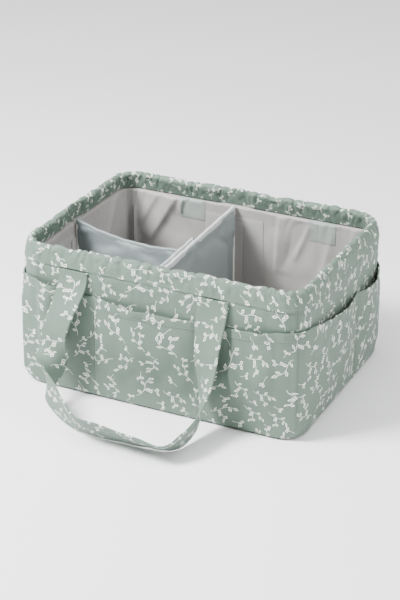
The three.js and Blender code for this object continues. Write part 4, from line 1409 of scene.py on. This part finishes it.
def long_top(share):
    straight = LONG_TOP_AT_WALL + (LONG_TOP_AT_CROSS - LONG_TOP_AT_WALL) * share
    return straight - LONG_TOP_SAG * 4 * share * (1 - share)


def pad_grid(length, top_at):
    """Two faces of a pad as points (along, across, up), and how far each point is from the border."""
    columns, rows = round(length / PAD_CELL) + 1, round(PAD_HEIGHT / PAD_CELL) + 1
    share, up = np.meshgrid(np.linspace(0, 1, columns), np.linspace(0, 1, rows), indexing="ij")
    z = DIVIDER_FOOT + (top_at(share) - 0.3 - DIVIDER_FOOT) * up
    from_border = np.minimum(np.minimum(share, 1 - share) * length, np.minimum(up, 1 - up) * 145)
    half = DIVIDER_HALF * (0.28 + 0.72 * np.clip(from_border / PAD_ROUNDING, 0, 1) ** 0.5)
    left = np.stack([share * length, half, z], -1)
    right = np.stack([share * length, -half, z], -1)
    return left, right, from_border


print("cross divider is", round(2 * CROSS_HALF), "mm long")

# %% Blowing up a pad
INWARD_CAP = 0.8  # the foam core starts 1.3 mm under the cloth
FRAMES = 20
SATIN = {  # settings of the simulated cloth
    "quality": 6, "mass": 0.3,
    "tension_stiffness": 12, "compression_stiffness": 12, "shear_stiffness": 4, "bending_stiffness": 0.2,
    "use_pressure": True, "uniform_pressure_force": 4.0,
    "shrink_min": -0.05,  # less than 0, because the satin is a little larger than its foam
}


def puffed_pad(piece, caps, pinned):
    """Blows the pad up with Cloth, keeps each move within its cap, and gives the new points."""
    before = np.array([v.co for v in piece.data.vertices])
    group = piece.vertex_groups.new(name="sewn")
    group.add([int(k) for k in np.flatnonzero(pinned)], 1.0, "REPLACE")
    cloth = piece.modifiers.new("Cloth", "CLOTH")
    settings = cloth.settings
    for name, value in SATIN.items():
        setattr(settings, name, value)
    settings.vertex_group_mass = "sewn"
    settings.effector_weights.gravity = 0
    cloth.point_cache.frame_start, cloth.point_cache.frame_end = 1, FRAMES
    for number in range(1, FRAMES + 1):
        bpy.context.scene.frame_set(number)
    evaluated = piece.evaluated_get(bpy.context.evaluated_depsgraph_get())
    after = np.array([v.co for v in evaluated.data.vertices])
    piece.modifiers.remove(cloth)
    piece.vertex_groups.remove(group)
    bpy.context.scene.frame_set(1)
    normals = np.array([v.normal for v in piece.data.vertices])
    outwards = ((after - before) * normals).sum(1)
    limit = np.where(outwards > 0, caps, INWARD_CAP) * MM
    kept = limit * np.tanh(outwards / limit)
    found = f"{outwards.min() / MM:.1f} to {outwards.max() / MM:.1f}"
    print(f"{piece.name}: moved {found} mm outwards, kept {kept.min() / MM:.1f} to {kept.max() / MM:.1f}")
    return before + normals * kept[:, None]


# %% From grid to pad
def make_pad(name, length, top_at, to_place, cap_at, body, node):
    """A padded cover of one divider, blown up, smoothed and dressed."""
    left, right, from_border = pad_grid(length, top_at)
    points, faces = closed_sheet(left, right)
    flat_uv = points[:, [0, 2]] + np.repeat([[0, 0], [0, 300]], left[..., 0].size, axis=0)
    piece = outward(piece_from(name, to_place(points), faces, flat_uv, divider_satin, 70))
    caps = np.concatenate([cap_at(face).ravel() for face in (left, right)])
    border = np.concatenate([from_border.ravel()] * 2)
    moved = puffed_pad(piece, caps, border < 0.5)
    piece.data.vertices.foreach_set("co", moved.astype(np.float32).ravel())
    piece.data.update()
    smooth = piece.modifiers.new("Subdivision", "SUBSURF")
    smooth.levels = smooth.render_levels = 1
    dress(piece, body, "divider_satin", node)
    print(name, "has", len(points), "points")
    return piece


# %% Places of the two pads
def place_cross(points):
    along, across, up = np.moveaxis(points, -1, 0)
    return np.stack([CROSS_X - across, along - CROSS_HALF, up], -1)


def place_long(points):
    along, across, up = np.moveaxis(points, -1, 0)
    return np.stack([LONG_FROM + along, LONG_Y + across, up], -1)


CROSS_CAP, BACK_CAP, WING_CAP, LONG_CAP = 3.2, 1.6, 0.12, 3.0
PAST_WING = 26  # behind the middle of the cross divider, where its left side is free again


def cross_cap(face):
    """How far each point of the cross divider may move outwards. The wing leaves its left side no room."""
    on_left = face[..., 1] > 0
    past_wing = face[..., 0] > CROSS_HALF + PAST_WING
    return np.where(on_left, np.where(past_wing, BACK_CAP, WING_CAP), CROSS_CAP)


def long_cap(face):
    return np.full(face.shape[:2], LONG_CAP)


make_pad(
    "cross_divider_pad", 2 * CROSS_HALF, cross_top, place_cross, cross_cap,
    "cross_divider", "cross_divider_cover",
)
make_pad(
    "long_divider_pad", LONG_TO - LONG_FROM, long_top, place_long, long_cap,
    "long_divider", "long_divider_cover",
)

# %% [markdown]
# ### Wing and bindings
# The long divider ends in a wing of doubled satin that lies along the front part of the cross divider and is
# held there by fastener tape. Its upper edge stands a little above the divider, as a second pale line. The
# pale binding on each top edge is a folded strip. It could be painted on as a paler band, but its small step
# catches the light. So it is an upside-down U of cloth that runs along the edge, slightly uneven as if sewn
# by hand.


# %% Bindings
BINDING_DROP = 4.0  # from the bend down to each hem


def binding(name, start, end, top_at, half, to_place, body, material, cloth=0.7):
    """A folded strip over an upper edge. It runs along the edge, and its section is an upside-down U."""
    along = steps(start, end, 2.0)
    share = (along - start) / (end - start)
    turn = np.linspace(math.pi, 0, 9)
    uneven = 0.25 * np.sin(along / 6.1) + 0.2 * np.sin(along / 2.9 + 1)
    low = BINDING_DROP + 0.5 * np.sin(along / 9)

    def section(radius, grow):
        centre = top_at(share) - half
        across = np.concatenate([[-radius, -radius], radius * np.cos(turn)[1:-1], [radius, radius]])
        lift = np.concatenate([[0, 0], radius * np.sin(turn)[1:-1], [0, 0]])
        z = centre[:, None] + lift[None, :] + (uneven * grow)[:, None] * (lift[None, :] > 0)
        z[:, 0] -= low
        z[:, -1] -= low
        wavy = 0.12 * np.sin(along / 3.7)[:, None] * np.sign(across)[None, :] * grow
        across = across[None, :] + 0 * z + wavy
        return np.stack([np.broadcast_to(along[:, None], z.shape), across, z], -1)

    outer, inner = section(half + cloth, 1.0), section(half, 0.4)
    length = adding_up(np.linalg.norm(np.diff(outer[0], axis=0), axis=1))
    flat_uv = np.stack(np.broadcast_arrays(along[:, None], length[None, :]), -1)
    piece = outward(sheet_piece(name, to_place(outer), to_place(inner), flat_uv, material))
    print(f"{name}: {round(end - start)} mm long")
    return dress(piece, body, "divider_satin")


def raised(top_at, rise):
    return lambda share: top_at(share) + rise


END_INSET, BINDING_RISE, BINDING_HALF = 0.6, 0.4, 1.5
binding(
    "cross_divider_binding", END_INSET, 2 * CROSS_HALF - END_INSET, raised(cross_top, BINDING_RISE),
    BINDING_HALF, place_cross, "cross_divider", edge_satin,
)
binding(
    "long_divider_binding", END_INSET, LONG_TO - LONG_FROM - END_INSET, raised(long_top, BINDING_RISE),
    BINDING_HALF, place_long, "long_divider", divider_satin,
)

# %% Wing
WING_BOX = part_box("long_divider_wing")
WING_LEFT, WING_RIGHT = WING_BOX[0][0] / MM, WING_BOX[1][0] / MM
WING_FRONT, WING_BACK = WING_BOX[0][1] / MM, WING_BOX[1][1] / MM
WING_RISE, WING_CORNER = 1.5, 7
WING_HEM, WING_SLACK = 4.5, 0.9


def wing_top(y):
    corner = np.clip(y - (WING_BACK - WING_CORNER), 0, WING_CORNER)
    rounded = WING_CORNER - np.sqrt(WING_CORNER**2 - corner**2)
    return cross_top((y + CROSS_HALF) / (2 * CROSS_HALF)) + WING_RISE - rounded


y = steps(WING_FRONT, WING_BACK, 2.2)[:, None]
up = np.linspace(0, 1, 60)[None, :] ** 0.9
z = DIVIDER_FOOT + (wing_top(y) - DIVIDER_FOOT) * up
y, z = np.broadcast_arrays(y, z)
hem = 0.25 * hump(wing_top(y) - z, WING_HEM, 0.7)
slack = WING_SLACK * (0.5 + 0.5 * ripples(y * 3, z * 2, 70, 81)) * smooth_step(4, 20, wing_top(y) - z)
left = np.stack([WING_LEFT - slack + hem, y, z], -1)[::-1]
right = np.stack([WING_RIGHT + 0 * y, y, z], -1)[::-1]
wing = outward(sheet_piece("long_divider_wing_cloth", left, right, left[..., 1:], divider_satin))
dress(wing, "long_divider", "divider_satin", "long_divider_wing")
print("wing:", round(WING_BACK - WING_FRONT), "mm wide and", round(np.ptp(z)), "mm high")

# %% Binding of the wing
EDGE_FROM, EDGE_TO = WING_FRONT + 0.5, WING_BACK - WING_CORNER


def place_wing(points):
    along, across, up = np.moveaxis(points, -1, 0)
    return np.stack([(WING_LEFT + WING_RIGHT) / 2 - across, along, up], -1)


def wing_edge(share):
    return wing_top(EDGE_FROM + share * (EDGE_TO - EDGE_FROM)) + 0.3


binding(
    "wing_binding", EDGE_FROM, EDGE_TO, wing_edge, 0.62, place_wing, "long_divider", edge_satin, cloth=0.45
)

# %% [markdown]
# ## Stitches
# Seams are held by rows of small stitches. There are thousands, so none is placed by hand. A row is a line of
# points on the cloth. Geometry Nodes turn the line into a curve, space points along it by the length of a
# stitch, and set a little thread capsule on each, turned to follow the line. The tree has the length, the
# gap and the thread as named inputs, so that one tree serves every seam.

# %% One stitch
STITCH_LENGTH, STITCH_GAP, THREAD_RADIUS = 2.6, 1.1, 0.24
THREAD_SEGMENTS, THREAD_RINGS = 6, 5
FACES_OF_A_STITCH = THREAD_SEGMENTS * THREAD_RINGS


def one_stitch(n, given):
    """A small sphere that is drawn out to the length of a stitch."""
    thread = n.add("GeometryNodeMeshUVSphere")
    thread.inputs["Segments"].default_value = THREAD_SEGMENTS
    thread.inputs["Rings"].default_value = THREAD_RINGS
    thread.inputs["Radius"].default_value = 1
    shaped = n.add("GeometryNodeTransform")
    n.feed(shaped.inputs["Geometry"], thread.outputs[0])
    size = n.add("ShaderNodeCombineXYZ")
    n.feed(size.inputs[0], given["Thread radius"])
    n.feed(size.inputs[1], given["Thread radius"])
    n.feed(size.inputs[2], n.product(given["Stitch length"], 0.5))
    n.feed(shaped.inputs["Scale"], size.outputs[0])
    return shaped.outputs[0]


print("faces of a stitch:", FACES_OF_A_STITCH)


# %% Stitch tree
def stitch_tree():
    tree = bpy.data.node_groups.new("row_of_stitches", "GeometryNodeTree")
    tree.interface.new_socket("Line", in_out="INPUT", socket_type="NodeSocketGeometry")
    sizes = {"Stitch length": STITCH_LENGTH, "Gap": STITCH_GAP, "Thread radius": THREAD_RADIUS}
    for name, value in sizes.items():
        socket = tree.interface.new_socket(name, in_out="INPUT", socket_type="NodeSocketFloat")
        socket.default_value = value * MM
    tree.interface.new_socket("Thread", in_out="INPUT", socket_type="NodeSocketMaterial")
    tree.interface.new_socket("Stitches", in_out="OUTPUT", socket_type="NodeSocketGeometry")
    n = Nodes(tree)
    given, out = n.add("NodeGroupInput").outputs, n.add("NodeGroupOutput")
    curve = n.add("GeometryNodeMeshToCurve")
    n.feed(curve.inputs[0], given["Line"])
    spaced = n.add("GeometryNodeResampleCurve", mode="LENGTH")
    n.feed(spaced.inputs["Curve"], curve.outputs[0])
    n.feed(spaced.inputs["Length"], n.math("ADD", given["Stitch length"], given["Gap"]))
    tangent = n.add("GeometryNodeInputTangent")
    turn = n.add("FunctionNodeAlignRotationToVector", axis="Z")
    n.feed(turn.inputs["Vector"], tangent.outputs[0])
    placed = n.add("GeometryNodeInstanceOnPoints")
    n.feed(placed.inputs["Points"], spaced.outputs[0])
    n.feed(placed.inputs["Instance"], one_stitch(n, given))
    n.feed(placed.inputs["Rotation"], turn.outputs[0])
    real = n.add("GeometryNodeRealizeInstances")
    n.feed(real.inputs[0], placed.outputs[0])
    painted = n.add("GeometryNodeSetMaterial")
    n.feed(painted.inputs["Geometry"], real.outputs[0])
    n.feed(painted.inputs["Material"], given["Thread"])
    n.feed(out.inputs["Stitches"], painted.outputs[0])
    return tree


STITCHES = stitch_tree()
print("stitch nodes:", len(STITCHES.nodes))


# %% Sewing along lines
def sew(name, lines, body):
    """Rows of stitches along lines of points in millimetres, as one plain mesh that rides on a body."""
    points, edges = [], []
    for line in lines:
        first = len(points)
        points += (np.asarray(line) * MM).tolist()
        edges += [(k, k + 1) for k in range(first, len(points) - 1)]
    mesh = bpy.data.meshes.new(name + "_lines")
    mesh.from_pydata(points, edges, [])
    rows = linked(name + "_rows", mesh)
    modifier = rows.modifiers.new("Stitches", "NODES")
    modifier.node_group = STITCHES
    sockets = {i.name: i.identifier for i in STITCHES.interface.items_tree if i.in_out == "INPUT"}
    modifier[sockets["Thread"]] = thread_cotton
    bpy.context.view_layer.update()
    evaluated = rows.evaluated_get(bpy.context.evaluated_depsgraph_get())
    made = bpy.data.meshes.new_from_object(evaluated)
    bpy.data.objects.remove(rows)
    if UV_NAME not in made.uv_layers:
        made.uv_layers.new(name=UV_NAME)
    made.polygons.foreach_set("use_smooth", [True] * len(made.polygons))
    print(f"{name}: {len(made.polygons) // FACES_OF_A_STITCH} stitches")
    return dress(linked(name, made), body, "printed_cloth")


# %% Seams of the basket
THREAD_LIFT, SEAM_STITCHES = 0.12, 1.1  # off the cloth, and to each side of a pocket seam

for side in SIDE_NAMES:
    start, end = side_span(side, 2)
    u = steps(start, end, 1.5)
    along = u - SIDE_CENTRES[side]
    hem_z = sewn_mouth(side, along) - HEM_HEIGHT + HEM_STITCHES
    lines = [wall(u, hem_z, pocket_outer_depth(side, along, hem_z) - THREAD_LIFT)]
    rim_share = np.full_like(u, 0.012)
    rim_z, rim_depth = rim_point(u, rim_share, CASING_CLOTH)
    lines.append(wall(u, rim_z + 0.3, rim_depth - 0.15))
    for seam in POCKET_SEAMS[side]:
        top = pocket_shape(side, np.array([seam]))[1][0] - 0.6
        z = steps(3, top, 1.5)
        for offset in (-SEAM_STITCHES, SEAM_STITCHES):
            place = np.full_like(z, seam + offset)
            depth = pocket_outer_depth(side, place, z) - THREAD_LIFT
            lines.append(wall(SIDE_CENTRES[side] + place, z, depth))
    sew(f"{side}_seam_stitches", lines, "basket")

# %% Seams of the straps
for name, turn in HANDLE_TURNS.items():
    lines = []
    for across in (-HANDLE_WIDTH / 2 + EDGE_STITCHES, HANDLE_WIDTH / 2 - EDGE_STITCHES):
        for face in (1, -1):
            off = face * (HANDLE_THICKNESS / 2 - 0.2)
            line = strap_points(np.full((STRAP_STEPS, 1), across), off)[:, 0]
            lines.append(line[6:-6] @ turn)
    sew(f"{name}_strap_stitches", lines, f"{name}_handle")

# %% [markdown]
# ## Finish
